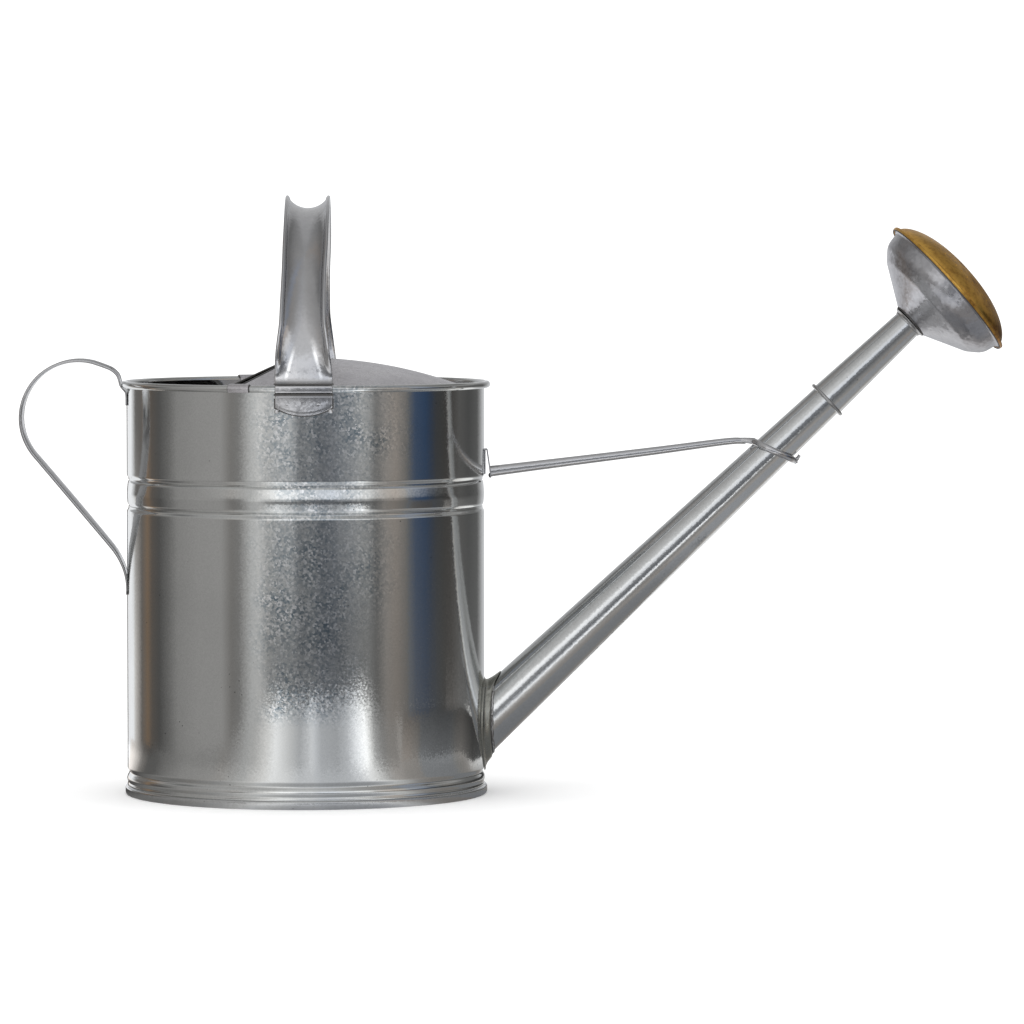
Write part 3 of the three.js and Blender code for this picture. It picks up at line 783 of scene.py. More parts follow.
def strap(name, stations, material, place):
    """Stations are (out, height, half width, curl, hem, follow, level) tuples along the strip."""
    normals = normals_of([s[:2] for s in stations])
    sections = []
    for station, normal in zip(stations, normals):
        out, height, half, curl, hem, follow = station[:6]
        section = []
        for sideways, depth in strap_section(half, curl, hem, *station[6:]):
            section.append(place(out + normal.x * depth, height + normal.y * depth, sideways, follow))
        sections.append(section)
    return lofted(name, sections, material, crease=42)


def make_top_handle():
    wide = HANDLE_HALF + 0.2  # of the tab and the sleeve round the rim
    sleeve = 117.35
    flat_hem, full_hem = 0.25, 1.2
    deepest_curl = 0.0683  # per millimetre across the strip
    half = [(TAB_OUT, HANDLE_TAB + TAB_ARC * (i / 14) ** 2, wide * (i / 14), 0, flat_hem, 1) for i in range(1, 15)]
    over = rounded([
        (TAB_OUT, 250, 0), (TAB_OUT, 254.2, 1.2), (sleeve, 257.2, 1.2), (sleeve, 260.4, 1.6),
        (HANDLE_SPAN + 0.5, 263.3, 2.5), (HANDLE_SPAN - 0.1, 266.5, 0),
    ])
    half += [(x, z, wide, 0, flat_hem, 1) for x, z in over]
    steps, start = 64, 0.045
    for i in range(1, steps + 1):
        angle = start + (math.pi / 2 - start) * (i / steps)
        length = HANDLE_RISE * angle - 4.8  # along the strip from the sleeve's top
        narrowing = 1.5 * ease(length, 4, 34) - 0.5 * ease(length, 60, 90)
        half.append((
            HANDLE_SPAN * math.cos(angle),
            HANDLE_FOOT + HANDLE_RISE * math.sin(angle),
            HANDLE_HALF - narrowing,
            (deepest_curl - 0.0018 * ease(length, 60, 90)) * (1 - math.exp(-max(0, length) / 18)),
            flat_hem + (full_hem - flat_hem) * ease(length, 0, 12),
            1 - ease(length, 0, 16),
            12.0 * (1 - ease(length, -6, 34)),
        ))
    front = [(-s[0],) + s[1:] for s in half]
    rear = half[:-1][::-1]

    def place(out, height, sideways, follow):
        above = height - HANDLE_TAB - TAB_ARC * (sideways / wide) ** 2
        inwards = 0.42 * (1 - ease(above, -0.5, 2.2)) if height < HANDLE_TAB + 8 else 0
        inwards -= TAB_LEAN * max(0, LEAN_TOP - height)
        bow = 1.65 * ease(height, 300, 370) - 0.7 * ease(height, 262, 285)
        y, x = beside_can(out - inwards * math.copysign(1, out), sideways + HANDLE_X + bow, follow)
        return Vector((x, y, height))

    handle = strap("carrying_handle", front + rear, STRAP_METAL, place)
    finish_piece(handle, "galvanised_strap", "top_handle")


def wall_patch(name, rows, side, out, thickness, material):
    """A thin plate bent round the can. Its rows are (height, middle, half width) across the can."""
    sections = []
    for height, middle, half in rows:
        ring = [(middle + half * (-1 + i / 6), out + thickness) for i in range(13)]
        ring += [(middle + half * (1 - i / 6), out) for i in range(13)]
        sections.append([on_wall(across, height, side, away) for across, away in ring])
    return lofted(name, sections, material)


def make_handle_painted_shade():
    """Painted shade: a dark sheet round each tab of the carrying handle, where it stands off the wall, and dark
    strips along the sleeve's two creases.
    """
    wide = HANDLE_HALF + 0.75
    reach = HANDLE_HALF + 0.1
    for side, where in ((-1, "front"), (1, "back")):
        shares = [i / 12 for i in range(1, 13)]
        rows = [(HANDLE_TAB - 0.55 + TAB_ARC * t * t, HANDLE_X, wide * t) for t in shares]
        rows += [(249.5, HANDLE_X, wide), (253.0, HANDLE_X, wide)]
        painted_shade_sheet = wall_patch(f"tab_painted_shade_{where}", rows, side, 0.03, 0.28, DARK_SOLDER_AND_SHADE_METAL)
        finish_piece(painted_shade_sheet, "galvanised_strap")
        # painted shade along the sleeve's lower and upper creases
        for out, height, size, hand in ((4.0, 255.4, 0.62, "lower"), (4.3, 261.9, 0.48, "upper")):
            path = [on_wall(HANDLE_X - reach + reach * i / 10, height, side, out) for i in range(21)]
            crease = wire(f"sleeve_crease_{hand}_{where}", path, size, DARK_SOLDER_AND_SHADE_METAL, 8)
            finish_piece(crease, "galvanised_strap")


def on_wall(sideways, height, side, out):
    angle = sideways / WALL
    return Vector(((WALL + out) * math.sin(angle), side * (WALL + out) * math.cos(angle), height))


def blob(name, centre, outward, radius, flat, material, seed):
    """A small irregular drop of metal that sits on a surface."""
    random.seed(seed)
    tool = bmesh.new()
    bmesh.ops.create_icosphere(tool, subdivisions=3, radius=radius)
    waves = [(Vector([random.uniform(-2, 2) for _ in range(3)]), random.uniform(0, 6)) for _ in range(4)]
    turned = Vector(outward).to_track_quat("Z", "Y").to_matrix()
    for v in tool.verts:
        bulge = 1 + 0.07 * sum(math.sin(way.dot(v.co) * 1.3 / radius + phase) for way, phase in waves)
        v.co = turned @ Vector((v.co.x * bulge, v.co.y * bulge, v.co.z * flat * bulge)) + Vector(centre)
    points = [v.co.copy() for v in tool.verts]
    faces = [[v.index for v in f.verts] for f in tool.faces]
    tool.free()
    return mesh_object(name, points, faces, material, 80)


def make_handle_solder():
    seed = 3  # each drop has a seed of its own
    for side, far in ((-1, "near"), (1, "far")):
        for across, hand in ((-1, "left"), (1, "right")):
            seed += 1
            centre = on_wall(across * (HANDLE_HALF - 1.3) + HANDLE_X, HANDLE_TAB + 2.9, side, 0.9)
            drop = blob(f"solder_{far}_{hand}_drop", centre, (0, side, 0), 1.6, 0.8, SOLDER_METAL, seed)
            finish_piece(drop, "solder", f"solder_{far}_{hand}")
        for across, hand in ((-9.4, "left"), (9.4, "right")):
            seed += 1
            centre = on_wall(across + HANDLE_X - 0.6, HANDLE_TAB + 6.6, side, 0.95)
            weld = blob(f"spot_weld_{far}_{hand}", centre, (0, side, 0), 1.5, 0.35, STRAP_METAL, seed)
            finish_piece(weld, "galvanised_strap")


def make_rear_handle():
    """Its stations follow the strip's two edges, and its middle lies nearer the can."""
    tab = -TAB_OUT
    lean = 40.3  # of its straight part, in degrees
    bend_radius = 40
    foot_z, corner, bend_z = 125.6, 4, 130.4
    wide = 12.6
    hollow = 0.024  # how much the strip is curled, per millimetre
    stations = []
    for i in range(7):
        rise = 1 - math.cos(i / 6 * math.pi / 2)
        half = wide * (0.55 + 0.45 * math.sqrt(max(0, 1 - (1 - rise) ** 2)))
        stations.append((tab, foot_z + corner * rise, half, 0, 0.2, 1))
    stations.append((tab, bend_z, wide, 0, 0.3, 1))
    turned = arc(tab - bend_radius, bend_z, bend_radius, 0, lean, 18)[1:]
    for i, (x, z) in enumerate(turned):
        t = (i + 1) / 18
        stations.append((x, z, wide, hollow * t, 0.3 + 0.8 * t, 1 - ease(t, 0, 1)))
    loop = arc(LOOP_X, LOOP_Z, LOOP_R, 180 + lean, 75, 44)
    foot, head = Vector(turned[-1]), Vector(loop[0])
    for i in range(1, 16):
        t = i / 16
        at = foot.lerp(head, t)
        stations.append((at.x, at.y, wide, hollow + 0.004 * math.sin(math.pi * t), 1.0, 0))
    for i, (x, z) in enumerate(loop):
        stations.append((x, z, wide, hollow - 0.011 * ease(i / 44, 0, 0.35), 1.1, 0))
    over = spline([
        loop[-1], (-127.2, 270.4), (-122.4, 268.2), (-119.0, 264.9), (-117.8, 261.4), (-117.2, 258.2),
        (-115.6, 255.8), (-114.0, 253.9), (tab - 0.05, 251.4), (tab, 248.6), (tab, 245.6),
    ], 52)[1:]
    for i, (x, z) in enumerate(over):
        t = (i + 1) / 51
        curl = (hollow - 0.011) * (1 - ease(t, 0, 0.35))
        stations.append((x, z, wide, curl, 1.1 - 0.85 * ease(t, 0.05, 0.55), ease(t, 0.1, 0.6)))
    sunk = []
    for (x, z, half, curl, *rest), normal in zip(stations, normals_of([s[:2] for s in stations])):
        sink = (1 - math.cos(curl * wide)) / curl if curl > 1e-5 else 0
        sunk.append((x - normal.x * sink, z - normal.y * sink, half, curl, *rest))

    def place(out, height, sideways, follow):
        x, y = beside_can(out, sideways, follow)
        return Vector((x, y, height))

    finish_piece(strap("pouring_handle", sunk, STRAP_METAL, place), "galvanised_strap", "rear_handle")


# ---- the spout and its collar ----


def spout_direction(angle):
    """Square to the spout: 0 degrees faces -Y and 90 is its upper side."""
    turned = math.radians(angle)
    return Vector((0, -1, 0)) * math.cos(turned) + UPWARD * math.sin(turned)


def meets_wall(angle, radius_at, wall):
    """How far along the spout a line on its surface crosses a cylinder round the can's axis."""
    away = spout_direction(angle)
    distance = 0.0
    for _ in range(12):
        p = ROOT + away * radius_at(distance) + ALONG * distance
        distance -= (math.hypot(p.x, p.y) - wall) / ALONG.x * 0.9
    return distance


def spout_point(angle, radius, distance):
    return ROOT + spout_direction(angle) * radius + ALONG * distance


LAP_ANGLE = 43  # the lapped seam lies this far up the near side
LAP_STEP = 0.55


def lap(angle):
    """How far the overlapping sheet stands out from the tube."""
    return LAP_STEP * (1 - ease((angle - LAP_ANGLE) % 360, 4, 30))


def on_spout(angle, extra, out):
    """The point this far off the spout's surface and this far out from the can's wall."""
    s = meets_wall(angle, lambda d: spout_radius(d) + extra + lap(angle), WALL + out)
    return spout_point(angle, spout_radius(s) + extra + lap(angle), s)


def make_spout():
    angles = [360 * i / 120 for i in range(120)]
    angles = sorted(set(angles + [LAP_ANGLE - 0.05, LAP_ANGLE + 0.05, LAP_ANGLE + 1.5]))
    rows = 34
    sections = []
    for angle in angles:
        first = meets_wall(angle, lambda d: spout_radius(d) + lap(angle), WALL - 0.2)
        second = meets_wall(angle, lambda d: spout_radius(d) - SHEET, WALL - 0.2)
        line = []
        for i in range(rows + 1):
            s = first + (SPOUT_END - first) * i / rows
            fade = 1 - ease(s, MOUTH_AT - 6, MOUTH_AT - 1)
            line.append(spout_point(angle, spout_radius(s) + lap(angle) * fade, s))
        for i in range(rows + 1):
            s = SPOUT_END + (second - SPOUT_END) * i / rows
            line.append(spout_point(angle, spout_radius(s) - SHEET, s))
        sections.append(line)
    tube = lofted("spout", sections, SPOUT_METAL, closed_path=True, crease=28)
    finish_piece(tube, "galvanised_sheet", "spout_tube")


def make_collar():
    """A flange on the wall that turns up into a short sleeve, a rough fillet of solder and a bright line in it."""
    rise = [
        (4.8, 0.05), (4.7, 0.55), (4.4, 0.85), (3.8, 0.95), (3.2, 1.1), (2.7, 1.6),
        (2.3, 2.4), (2.1, 3.6), (1.9, 4.6), (1.3, 5.0), (0.55, 5.0),
    ]
    hollow = [
        (4.4, 0.05), (3.4, 0.5), (2.7, 1.1), (2.2, 1.9), (1.8, 2.9), (1.5, 4.0),
        (1.2, 5.2), (0.95, 6.6), (0.75, 8.2), (0.55, 10.0), (0.35, 10.4),
    ]
    sections = []
    for i in range(144):
        angle = 360 * i / 144
        top = max(0.0, math.sin(math.radians(angle))) ** 6
        blend = [[a + (b - a) * top for a, b in zip(one, two)] for one, two in zip(rise, hollow)]
        sections.append([on_spout(angle, extra, out) for extra, out in blend + [(0.2, 4.2), (0.2, 0.05)]])
    sleeve = lofted("spout_collar_sleeve", sections, COLLAR_METAL, closed_path=True, crease=60)
    finish_piece(sleeve, "solder", "spout_collar")
    random.seed(11)
    waves = [(random.randint(3, 23), random.uniform(0, 6.3), random.uniform(0.5, 1)) for _ in range(9)]

    def roughness(angle, finer=1):
        around = math.radians(angle) * finer
        return sum(size * math.sin(around * turns + phase) for turns, phase, size in waves) / 6

    sections, path = [], []
    for i in range(180):
        angle = 360 * i / 180
        rough = roughness(angle)
        sections.append([on_spout(angle, extra, out) for extra, out in (
            (0.05, 4.5), (1.2, 4.4), (1.1 + 0.2 * rough, 5.0), (0.75 + 0.25 * rough, 5.6 + 0.4 * rough),
            (0.4, 6.2 + 0.6 * rough), (0.05, 6.6 + 0.8 * rough),
        )])
        path.append(on_spout(angle, 0.55, 5.9 + 0.5 * roughness(angle, 2)))
    fillet = lofted("spout_solder_fillet", sections, DARK_SOLDER_AND_SHADE_METAL, closed_path=True, crease=60)
    finish_piece(fillet, "solder")
    finish_piece(wire("spout_solder_line", path, 0.5, SOLDER_METAL, 8, closed_path=True), "solder")


# ---- the stay ----

STAY_STATION = 251.2
STAY_ROOT = Vector((116.6, 0, 203.5))
STAY_TIP = Vector((276.5, 0, 223.2))
BAR_TALL = (3.5, 1.95)  # half its height at the can and at the spout
BAR_DEEP = (2.7, 1.9)
BAR_SHEET = 0.75
ARM_R = 1.2
ARM_LEAN = math.radians(-24.9)  # the slope of the ring that the arms make round the spout
ARM_SKEW = math.radians(21.9)  # and how far that is from square to the spout
STAY_ENDS = {  # how the end of each arm goes on: outwards, up and to the far side
    "near": ((1.4, 1.2, 1.0), (2.0, 4.4, 0.6)),
    "far": ((1.4, -0.2, -0.8), (2.8, -1.2, -0.8)),
}


def make_stay_foot():
    tab = WALL + 0.45
    line = rounded([
        (tab, 201.7, 0), (tab, 217.6, 0.55), (tab + 1.15, 217.7, 0.55),
        (tab + 3.0, 204.5, 4), (tab + 3.6, 199.4, 0),
    ], 6)
    outline = sheet_outline(line, STRAP)
    sections = []
    for i in range(15):
        t = -1 + i / 7
        section = []
        for x, z in outline:
            lower = ease(z, 217, 199.5)
            half = 6.3 - 2.6 * lower * (1 if x > tab + 0.6 else 0)
            y = half * t
            round_wall = math.sqrt(max(0, x * x - y * y)) if x < tab + 0.6 else x
            drop = 0.8 * abs(t) ** 4 if z < 205 else 0
            section.append(Vector((round_wall, y, z + drop)))
        sections.append(section)
    foot = lofted("stay_foot_strip", sections, STRAP_METAL)
    weld = [blob(f"drop{i}", on_foot, (1, 0, 0.2), 1.3, 0.6, DARK_SOLDER_AND_SHADE_METAL, 30 + i)
            for i, on_foot in enumerate(((tab + 2.8, -1.5, 201.0), (tab + 2.9, 1.8, 200.7)))]
    finish_piece(foot, "galvanised_strap", "stay_foot")
    finish_piece(join("stay_weld", weld), "solder")


def make_stay_bar():
    """A strip folded to a narrow channel, open on its far side, with rounded edges."""
    path = [Vector(p) for p in spline([
        STAY_ROOT,
        STAY_ROOT.lerp(STAY_TIP, 0.33),
        STAY_ROOT.lerp(STAY_TIP, 0.66),
        STAY_ROOT.lerp(STAY_TIP, 0.93) + Vector((0, 0, 0.3)),
        STAY_TIP + Vector((1.5, 0, -0.6)),
    ], 40)]
    sections = []
    for i, here in enumerate(path):
        share = i / (len(path) - 1)
        ahead = (path[min(i + 1, len(path) - 1)] - path[max(i - 1, 0)]).normalized()
        lift = Vector((-ahead.z, 0, ahead.x))
        tall = BAR_TALL[0] + (BAR_TALL[1] - BAR_TALL[0]) * share ** 0.7
        deep = BAR_DEEP[0] + (BAR_DEEP[1] - BAR_DEEP[0]) * share
        section = []
        for sheet, turn_way in ((0, 1), (BAR_SHEET, -1)):
            for angle in range(-140, 141, 14):
                a = math.radians(angle * turn_way)
                flat = math.copysign(abs(math.sin(a)) ** 0.8, math.sin(a))
                nearer = Vector((0, -(deep - sheet) * math.cos(a), 0))
                section.append(here + lift * (tall - sheet) * flat + nearer)
        sections.append(section)
    bar = lofted("stay_channel", sections, STRAP_METAL, crease=50)
    finish_piece(bar, "galvanised_strap", "stay_bar")


def make_stay_arms():
    """The two arms that leave the channel's end, hug the spout and turn out where they meet below it."""
    centre = ROOT + ALONG * STAY_STATION
    outwards = Vector((math.cos(ARM_LEAN), 0, math.sin(ARM_LEAN)))
    upright = Vector((-outwards.z, 0, outwards.x))
    clear = spout_radius(STAY_STATION) + 2.05
    long = clear / math.cos(ARM_SKEW)
    for side, where in ((-1, "near"), (1, "far")):
        path = [STAY_TIP + Vector((-9, side * 0.2, -1.0)), STAY_TIP + Vector((-2.5, side * 0.7, -0.1))]
        for degrees in range(168, 12, -9):
            a = math.radians(degrees)
            path.append(centre + outwards * long * math.cos(a) + Vector((0, side * clear * math.sin(a), 0)))
        end = path[-1]
        for ahead, lift, across in STAY_ENDS[where]:
            path.append(end + outwards * ahead + upright * lift + Vector((0, across, 0)))
        shares = [i / 89 for i in range(90)]
        radii = [ARM_R + 0.85 * ease(t, 0, 0.12) - 0.9 * ease(t, 0.86, 1.0) for t in shares]
        arm = wire(f"stay_arm_{where}", spline(path, 90), radii, STRAP_METAL, 16, flatten=0.62, up=upright)
        finish_piece(arm, "galvanised_strap")


# ---- the rose ----


def make_rose_neck():
    mouth = spout_radius(MOUTH_AT) + 0.7
    bead = arc(mouth + 1.0, MOUTH_AT - 0.2, 1.05, 190, 505, 18)
    ring = lathe("neck_rolled_mouth", bead, WIRE_METAL, 96, SLANT)
    finish_piece(ring, "zinc_wire", "rose_neck_ring", body="rose_ring")

    def seam(angle, radius, distance):
        return radius + 0.3 * (1 - ease(math.degrees(angle - math.radians(40)) % 360, 5, 35)), distance

    start = MOUTH_AT - 1.2
    line = [(mouth + (NECK_THROAT - mouth) * i / 14, start + (NECK_END - start) * i / 14) for i in range(15)]
    angles = sorted(full_turn(96) + [math.radians(k) for k in (39.9, 40.1)])
    neck = lathe("neck_sleeve", sheet_outline(line, THIN), SPOUT_METAL, angles, SLANT, seam, 30)
    finish_piece(neck, "galvanised_sheet", "rose_neck", body="rose")
    collar = rounded([
        (NECK_THROAT + 0.62, NECK_END - 1.6, 0),
        (NECK_THROAT + 0.75, NECK_END - 0.5, 0.5),
        (11.6, NECK_END + 0.5, 0),
    ])
    flare = lathe("neck_flare", sheet_outline(collar, THIN), WIRE_METAL, 96, SLANT)
    finish_piece(flare, "zinc_wire", "rose_collar", body="rose")
    # painted shade: a dark ring in the crevice where the flare meets the bell
    groove = arc(11.3, NECK_END + 1.35, 0.75, 0, 330, 11)
    finish_piece(lathe("neck_painted_shade_ring", groove, DARK_SOLDER_AND_SHADE_METAL, 72, BELL), "zinc_wire", body="rose")


def make_rose_shell():
    line = rounded([
        (NECK_THROAT + 1.0, ROSE_AT - 0.7, 0),
        (12.4, ROSE_AT + 0.2, 2),
        (37.6, ROSE_AT + 13.6, 9),
        (45.3, ROSE_AT + 20.8, 12),
        (46.9, LIP_AT - 2.0, 1.6),
        (LIP_R - 0.3, LIP_AT, 0),
    ], 10)
    shell = lathe("rose_bell", sheet_outline(line, SHEET), ROSE_METAL, 160, BELL)
    finish_piece(shell, "zinc_rose", "rose_shell", body="rose")


FACE_R = 48.2
FACE_DOME = 15.6
HOLE_R = 0.62
HOLE_RINGS = 8
HOLE_SPACING = 4.9


def plate_height(radius):
    """The brass face's dome, above its flat edge."""
    share = min(1, radius / FACE_R)
    return FACE_DOME * (1 - share ** 2.35) ** 0.62


def make_rose_plate():
    lip = LIP_AT + 0.55
    radii = [FACE_R * math.sin(math.pi / 2 * i / 30) for i in range(30)]
    line = [(r, lip + plate_height(r)) for r in radii] + rounded([
        (FACE_R, lip + 0.35, 0),
        (LIP_R + 0.55, lip + 0.15, 0.6),
        (LIP_R + 0.55, LIP_AT - 0.9, 0.4),
        (LIP_R - 0.3, LIP_AT - 1.0, 0),
    ])
    plate = lathe("rose_brass_face", sheet_outline(line[::-1], THIN), BRASS_METAL, 144, BELL)
    holes, faces = [], []
    sides = 8
    for ring in range(HOLE_RINGS + 1):
        count = max(1, 6 * ring)
        for k in range(count):
            angle = 2 * math.pi * (k + 0.5 * (ring % 2)) / count
            r = HOLE_SPACING * ring
            base = Vector((r * math.cos(angle), r * math.sin(angle), 0))
            low = lip + plate_height(r) - 4
            first = len(holes)
            for height in (low, low + 8):
                for a in full_turn(sides):
                    holes.append(BELL @ (base + Vector((HOLE_R * math.cos(a), HOLE_R * math.sin(a), height))))
            for a in range(first, first + sides):
                b = first + (a + 1 - first) % sides
                faces.append([a, b, b + sides, a + sides])
            faces.append(list(reversed(range(first, first + sides))))
            faces.append(list(range(first + sides, first + 2 * sides)))
    # painted shade: a dark ring in the gap between the bell's lip and the brass face
    under = lathe("rose_lip_painted_shade", arc(LIP_R + 0.1, LIP_AT - 1.35, 0.38, 0, 324, 9), DARK_SOLDER_AND_SHADE_METAL, 144, BELL)
    finish_piece(under, "zinc_rose", body="rose")
    carve(plate, mesh_object("cutter", holes, faces, BRASS_METAL))
    finish_piece(plate, "brass", "rose_plate", body="rose")


make_body_shell()
make_base()
make_cover()
make_clip(-1, "cover_clip_front", "cover_clip_near")
make_clip(1, "cover_clip_back", "cover_clip_far")
make_top_handle()
make_handle_painted_shade()
make_handle_solder()
make_rear_handle()
make_spout()
make_collar()
make_stay_foot()
make_stay_bar()
make_stay_arms()
make_rose_neck()
make_rose_shell()
make_rose_plate()

hidden_wire = frame["nodes"]["rim_wire"].data  # the one piece that keeps its CAD mesh
hidden_wire.materials.clear()
hidden_wire.materials.append(WIRE_METAL)


# ---- studio: floor, surroundings that the metal mirrors, lights and camera ----


def matte(name, color):
    nodes = Nodes(name)
    grain = nodes.noise(40, detail=2)
    base = nodes.mix(grain, shade(color, 0.985), shade(color))
    return nodes.done(base, 0.9, nodes.bump(grain, 0.02, 0.0005), metallic=0.0)


def glow(name, strength=1.0, color=None):
    """Light of one colour, or of the mesh's own colours."""
    nodes = Nodes(name)
    nodes.tree.nodes.clear()
    own = color or nodes.add("ShaderNodeAttribute", attribute_name="tone").outputs["Color"]
    light = nodes.add("ShaderNodeEmission", {"Strength": strength, "Color": own})
    nodes.add("ShaderNodeOutputMaterial", {"Surface": light.outputs["Emission"]})
    return nodes.material


def stage_mesh(name, points, faces, material, tones=None):
    mesh = bpy.data.meshes.new(name)
    mesh.from_pydata(points, [], faces)
    mesh.materials.append(material)
    if tones:
        layer = mesh.color_attributes.new("tone", "FLOAT_COLOR", "POINT")
        for corner, tone in zip(layer.data, tones):
            corner.color = shade(tone)
    made = bpy.data.objects.new(name, mesh)
    bpy.context.scene.collection.objects.link(made)
    return made


def mirrored_mesh(name, corners, rows, ring):
    """A glowing mesh that is seen only in the metal, through a grid of (point, tone) corners."""
    points, tones = zip(*corners)
    made = stage_mesh(name, points, grid_faces(len(points) // rows, rows, ring), glow(name + "_glow"), tones)
    for rays in ("camera", "diffuse", "transmission", "shadow"):
        setattr(made, "visible_" + rays, False)


def disc(name, radius, height, material):
    ring = [(AXIS_X + radius * math.cos(a), radius * math.sin(a), height) for a in full_turn(96)]
    return stage_mesh(name, ring, [list(range(96))], material)


FLOOR_RADIUS = 1.1
GROUND_RADIUS = 60


def make_floor():
    """A pale floor round the can, and a bright ground and backdrop beyond it."""
    floor = disc("floor", FLOOR_RADIUS, 0.0, matte("floor_pale", (0.97, 0.97, 0.97)))
    floor.visible_glossy = False
    ground = disc("ground", GROUND_RADIUS, -0.002, glow("ground_glow", 1.3, WHITE))
    ground.visible_glossy = False
    ground.visible_diffuse = False


# What the metal mirrors: for each azimuth in degrees from -Y towards +X, how bright the room is
# below the can's foot, at its middle, a little above it and high up, then how bright the table is near the
# can and further out, how far the table reaches in metres, and a tint from -4 (blue) to 2 (warm). On the
# spout's side the first of the table's levels is its outer part's, and the second is a low skirt's.
ROOM = [
    (-180, 0.80, 0.88, 0.60, 0.55, 1.40, 0.85, 0.45, -0.1),
    (-160, 0.92, 0.95, 0.50, 0.50, 1.40, 0.95, 0.45, -0.1),
    (-152, 1.00, 1.05, 0.40, 0.45, 1.35, 0.90, 0.45, -0.1),
    (-146, 1.00, 0.60, 0.30, 0.38, 1.20, 0.90, 0.45, -0.1),
    (-141, 0.62, 0.16, 0.20, 0.35, 1.10, 0.82, 0.45, 0.2),
    (-130, 0.145, 0.145, 0.18, 0.35, 0.98, 0.62, 0.45, 0.4),
    (-121, 0.150, 0.185, 0.18, 0.35, 0.60, 0.28, 0.45, 2.0),
    (-115, 0.105, 0.110, 0.18, 0.35, 0.26, 0.13, 0.45, 0.7),
    (-106, 0.090, 0.105, 0.20, 0.35, 0.13, 0.09, 0.45, 0.1),
    (-96, 0.175, 0.175, 0.24, 0.35, 0.13, 0.15, 0.45, 0.1),
    (-88, 0.27, 0.29, 0.30, 0.36, 0.20, 0.20, 0.45, 0.1),
    (-72, 0.32, 0.34, 0.33, 0.38, 0.32, 0.26, 0.45, 0.1),
    (-54, 0.33, 0.36, 0.42, 0.45, 0.34, 0.27, 0.50, 0.1),
    (-47, 0.20, 0.23, 0.45, 0.48, 0.38, 0.26, 0.55, 0.2),
    (-42, 0.22, 0.24, 0.50, 0.50, 0.43, 0.30, 0.62, 0.1),
    (-34, 0.50, 0.60, 0.55, 0.55, 0.52, 0.46, 0.75, 0.0),
    (-29, 0.54, 0.76, 0.75, 0.58, 0.65, 0.52, 0.88, 0.05),
    (-23, 0.31, 0.64, 1.10, 0.62, 0.85, 0.78, 0.93, 0.05),
    (-17, 0.25, 0.64, 1.30, 0.70, 1.00, 1.05, 0.93, -0.05),
    (-9, 0.25, 0.62, 1.25, 0.72, 0.85, 0.70, 0.93, -0.05),
    (-3, 0.19, 0.26, 1.00, 0.72, 0.70, 0.50, 0.93, -0.15),
    (4, 0.19, 0.29, 0.95, 0.72, 0.70, 0.80, 0.93, -0.15),
    (9, 0.17, 0.20, 0.90, 0.65, 0.60, 0.52, 0.93, -0.3),
    (18, 0.155, 0.23, 0.95, 0.60, 0.58, 0.46, 0.93, -0.35),
    (24, 0.15, 0.35, 0.95, 0.55, 0.62, 0.62, 0.93, -0.2),
    (30, 0.18, 0.40, 1.00, 0.50, 0.80, 1.15, 0.93, -0.15),
    (35, 0.17, 0.47, 1.05, 0.45, 1.00, 1.50, 0.93, -0.05),
    (38, 0.19, 0.46, 1.00, 0.42, 0.95, 1.00, 0.93, 0.0),
    (41, 0.19, 0.42, 1.00, 0.40, 0.80, 0.46, 0.90, 0.0),
    (46, 0.14, 0.22, 0.70, 0.36, 0.50, 0.28, 0.80, 0.1),
    (53, 0.25, 0.32, 0.60, 0.34, 0.38, 0.28, 0.72, 0.4),
    (60, 0.22, 0.31, 0.55, 0.32, 0.36, 0.24, 0.72, 0.6),
    (67, 0.17, 0.20, 0.50, 0.30, 0.36, 0.18, 0.72, 0.3),
    (70, 0.15, 0.13, 0.45, 0.30, 0.36, 0.15, 0.72, -0.6),
    (74, 0.11, 0.085, 0.40, 0.30, 0.36, 0.14, 0.72, -2.8),
    (82, 0.085, 0.065, 0.30, 0.32, 0.36, 0.12, 0.72, -3.6),
    (87, 0.080, 0.055, 0.20, 0.34, 0.36, 0.115, 0.72, -2.3),
    (91, 0.080, 0.055, 0.20, 0.36, 0.36, 0.11, 0.72, -0.4),
    (100, 0.078, 0.055, 0.20, 0.36, 0.36, 0.12, 0.72, 0.2),
    (106, 0.085, 0.060, 0.24, 0.36, 0.40, 0.12, 0.72, 0.3),
    (116, 0.13, 0.11, 0.20, 0.36, 0.80, 0.06, 0.72, 0.1),
    (128, 0.12, 0.085, 0.17, 0.36, 1.00, 0.02, 0.72, 0.0),
    (144, 0.14, 0.12, 0.16, 0.38, 0.95, 0.06, 0.60, 0.0),
    (158, 0.52, 0.55, 0.40, 0.45, 0.80, 0.40, 0.45, -0.1),
    (180, 0.80, 0.88, 0.60, 0.55, 1.40, 0.85, 0.45, -0.1),
]
ROOM_RADIUS = 2.6
TABLE_Z = -0.0006
ZENITH = 0.40
SPOUT_SIDE = (56, 152)
BLUE = -1  # a tint below this is the blue stripe, which fades above and below the can


def room_at(azimuth):
    for one, two in zip(ROOM, ROOM[1:]):
        if one[0] <= azimuth <= two[0]:
            t = (azimuth - one[0]) / (two[0] - one[0])
            return [a + (b - a) * t for a, b in zip(one[1:], two[1:])]
    return ROOM[0][1:]


def tinted(level, tint):
    """A warm grey for a tint above 0 and a blue one below 0."""
    if tint > 0:
        return (level * (1 + 0.20 * tint), level, level * (1 - 0.15 * tint))
    return (level * (1 + 0.12 * tint), level, level * (1 - 0.25 * tint))


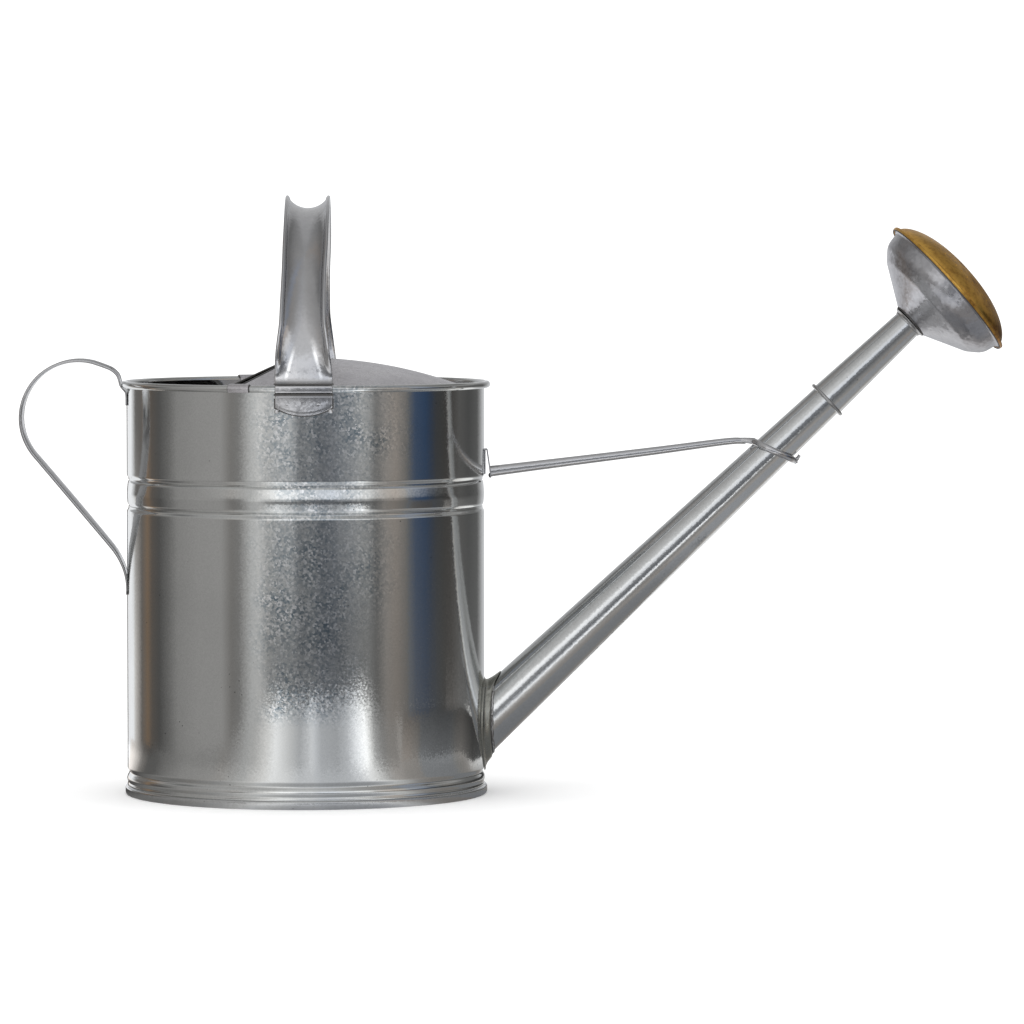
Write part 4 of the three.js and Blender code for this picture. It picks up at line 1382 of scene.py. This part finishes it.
def make_surround():
    """Walls, ceiling and table that are seen only in the metal."""
    room, table, skirt = [], [], []
    for azimuth in range(-180, 180):
        low, middle, band, high, near, floor, reach, tint = room_at(azimuth)
        x, y = math.sin(math.radians(azimuth)), -math.cos(math.radians(azimuth))
        deep = max(low, 0.30 if abs(azimuth) < 125 else 0.75)
        under = max(low, 0.28) if 100 < azimuth < 170 else low
        side = ease(abs(azimuth), 78, 100)
        upper = high - (high - 0.17 - 0.30 * ease(abs(azimuth), 148, 168)) * side
        walls = (
            (0.02, -0.95, deep), (ROOM_RADIUS, -0.90, deep), (ROOM_RADIUS, -0.34, under),
            (ROOM_RADIUS, -0.10, low), (ROOM_RADIUS, 0.14, middle),
            (ROOM_RADIUS, 0.36, middle), (ROOM_RADIUS, 0.50, band), (ROOM_RADIUS, 0.95, band),
            (ROOM_RADIUS, 1.25, high), (ROOM_RADIUS, 1.9, upper), (1.9, 2.3, upper * 0.6 + ZENITH * 0.4),
            (1.0, 2.45, upper * 0.25 + ZENITH * 0.75), (0.02, 2.5, ZENITH),
        )
        for radius, height, level in walls:
            share = 1 if height < 1 else 0.3
            if tint < BLUE:
                share = (1 if height > 0 else 0.45 if height > -0.2 else -0.1) * (1 if height < 0.4 else 0.2)
            room.append(((AXIS_X + radius * x, radius * y, height), tinted(level, tint * share)))
        beside = SPOUT_SIDE[0] <= azimuth <= SPOUT_SIDE[1]
        outer, inner = (near, (near + floor) / 2) if beside else (floor, near)
        rings = (
            (0.09, near * 0.45), (0.125, near * 0.6), (0.17, inner * 0.9), (0.25, inner),
            (0.35, outer if beside and azimuth > 112 else inner),
            (0.42, outer), (reach * 0.99, outer), (reach, outer * 0.95),
        )
        if beside:
            for height, share in ((-0.0005, 1.35), (0.033, 0.65)):
                radius = 0.41 - 0.10 * ease(azimuth, 104, 118) - height * 1.15
                tone = tinted(max(floor, 0.06) * share, max(tint, -0.2))
                skirt.append(((AXIS_X + radius * x, radius * y, height), tone))
        for radius, level in rings:
            tone = tinted(level, min(max(tint, -0.2), 0.3))
            table.append(((AXIS_X + radius * x, radius * y, TABLE_Z), tone))
    mirrored_mesh("room", room, len(walls), True)
    mirrored_mesh("skirt", skirt, 2, False)
    mirrored_mesh("table", table, len(rings), True)


def softbox(name, place, target, size, power):
    light = bpy.data.lights.new(name, "AREA")
    light.shape = "RECTANGLE"
    light.size, light.size_y = size
    light.energy = power
    made = bpy.data.objects.new(name, light)
    made.location = place
    made.rotation_euler = (Vector(target) - Vector(place)).to_track_quat("-Z", "Y").to_euler()
    made.visible_glossy = False
    bpy.context.scene.collection.objects.link(made)


def make_lights():
    """Soft light on the floor. The metal is lit by the room that it mirrors."""
    middle = (0, 0, 0.1)
    softbox("overhead", (-0.1, -0.1, 2.4), middle, (2.6, 2.2), 9)
    softbox("left_front", (-2.0, -1.8, 1.9), middle, (1.6, 1.6), 3)
    world = bpy.data.worlds.new("studio")
    world.use_nodes = True
    background = world.node_tree.nodes["Background"]
    background.inputs["Color"].default_value = (1, 1, 1, 1)
    background.inputs["Strength"].default_value = 1.28
    bpy.context.scene.world = world


CAMERA_LENS = 205.9
CAMERA_AT = (AXIS_X + 0.0626, -3.701, 0.366)
CAMERA_TURN = math.radians(1.0466)  # towards the spout
CAMERA_DIP = math.radians(2.913)


def make_camera():
    camera = bpy.data.cameras.new("camera")
    camera.lens = CAMERA_LENS
    camera.sensor_width = 36
    camera.clip_end = 100
    made = bpy.data.objects.new("camera", camera)
    made.location = CAMERA_AT
    aim = Vector((math.sin(CAMERA_TURN), math.cos(CAMERA_TURN), -math.tan(CAMERA_DIP)))
    made.rotation_mode = "QUATERNION"
    made.rotation_quaternion = aim.to_track_quat("-Z", "Y")
    bpy.context.scene.collection.objects.link(made)
    bpy.context.scene.camera = made


make_floor()
make_surround()
make_lights()
make_camera()
bpy.context.scene.view_settings.view_transform = "Standard"
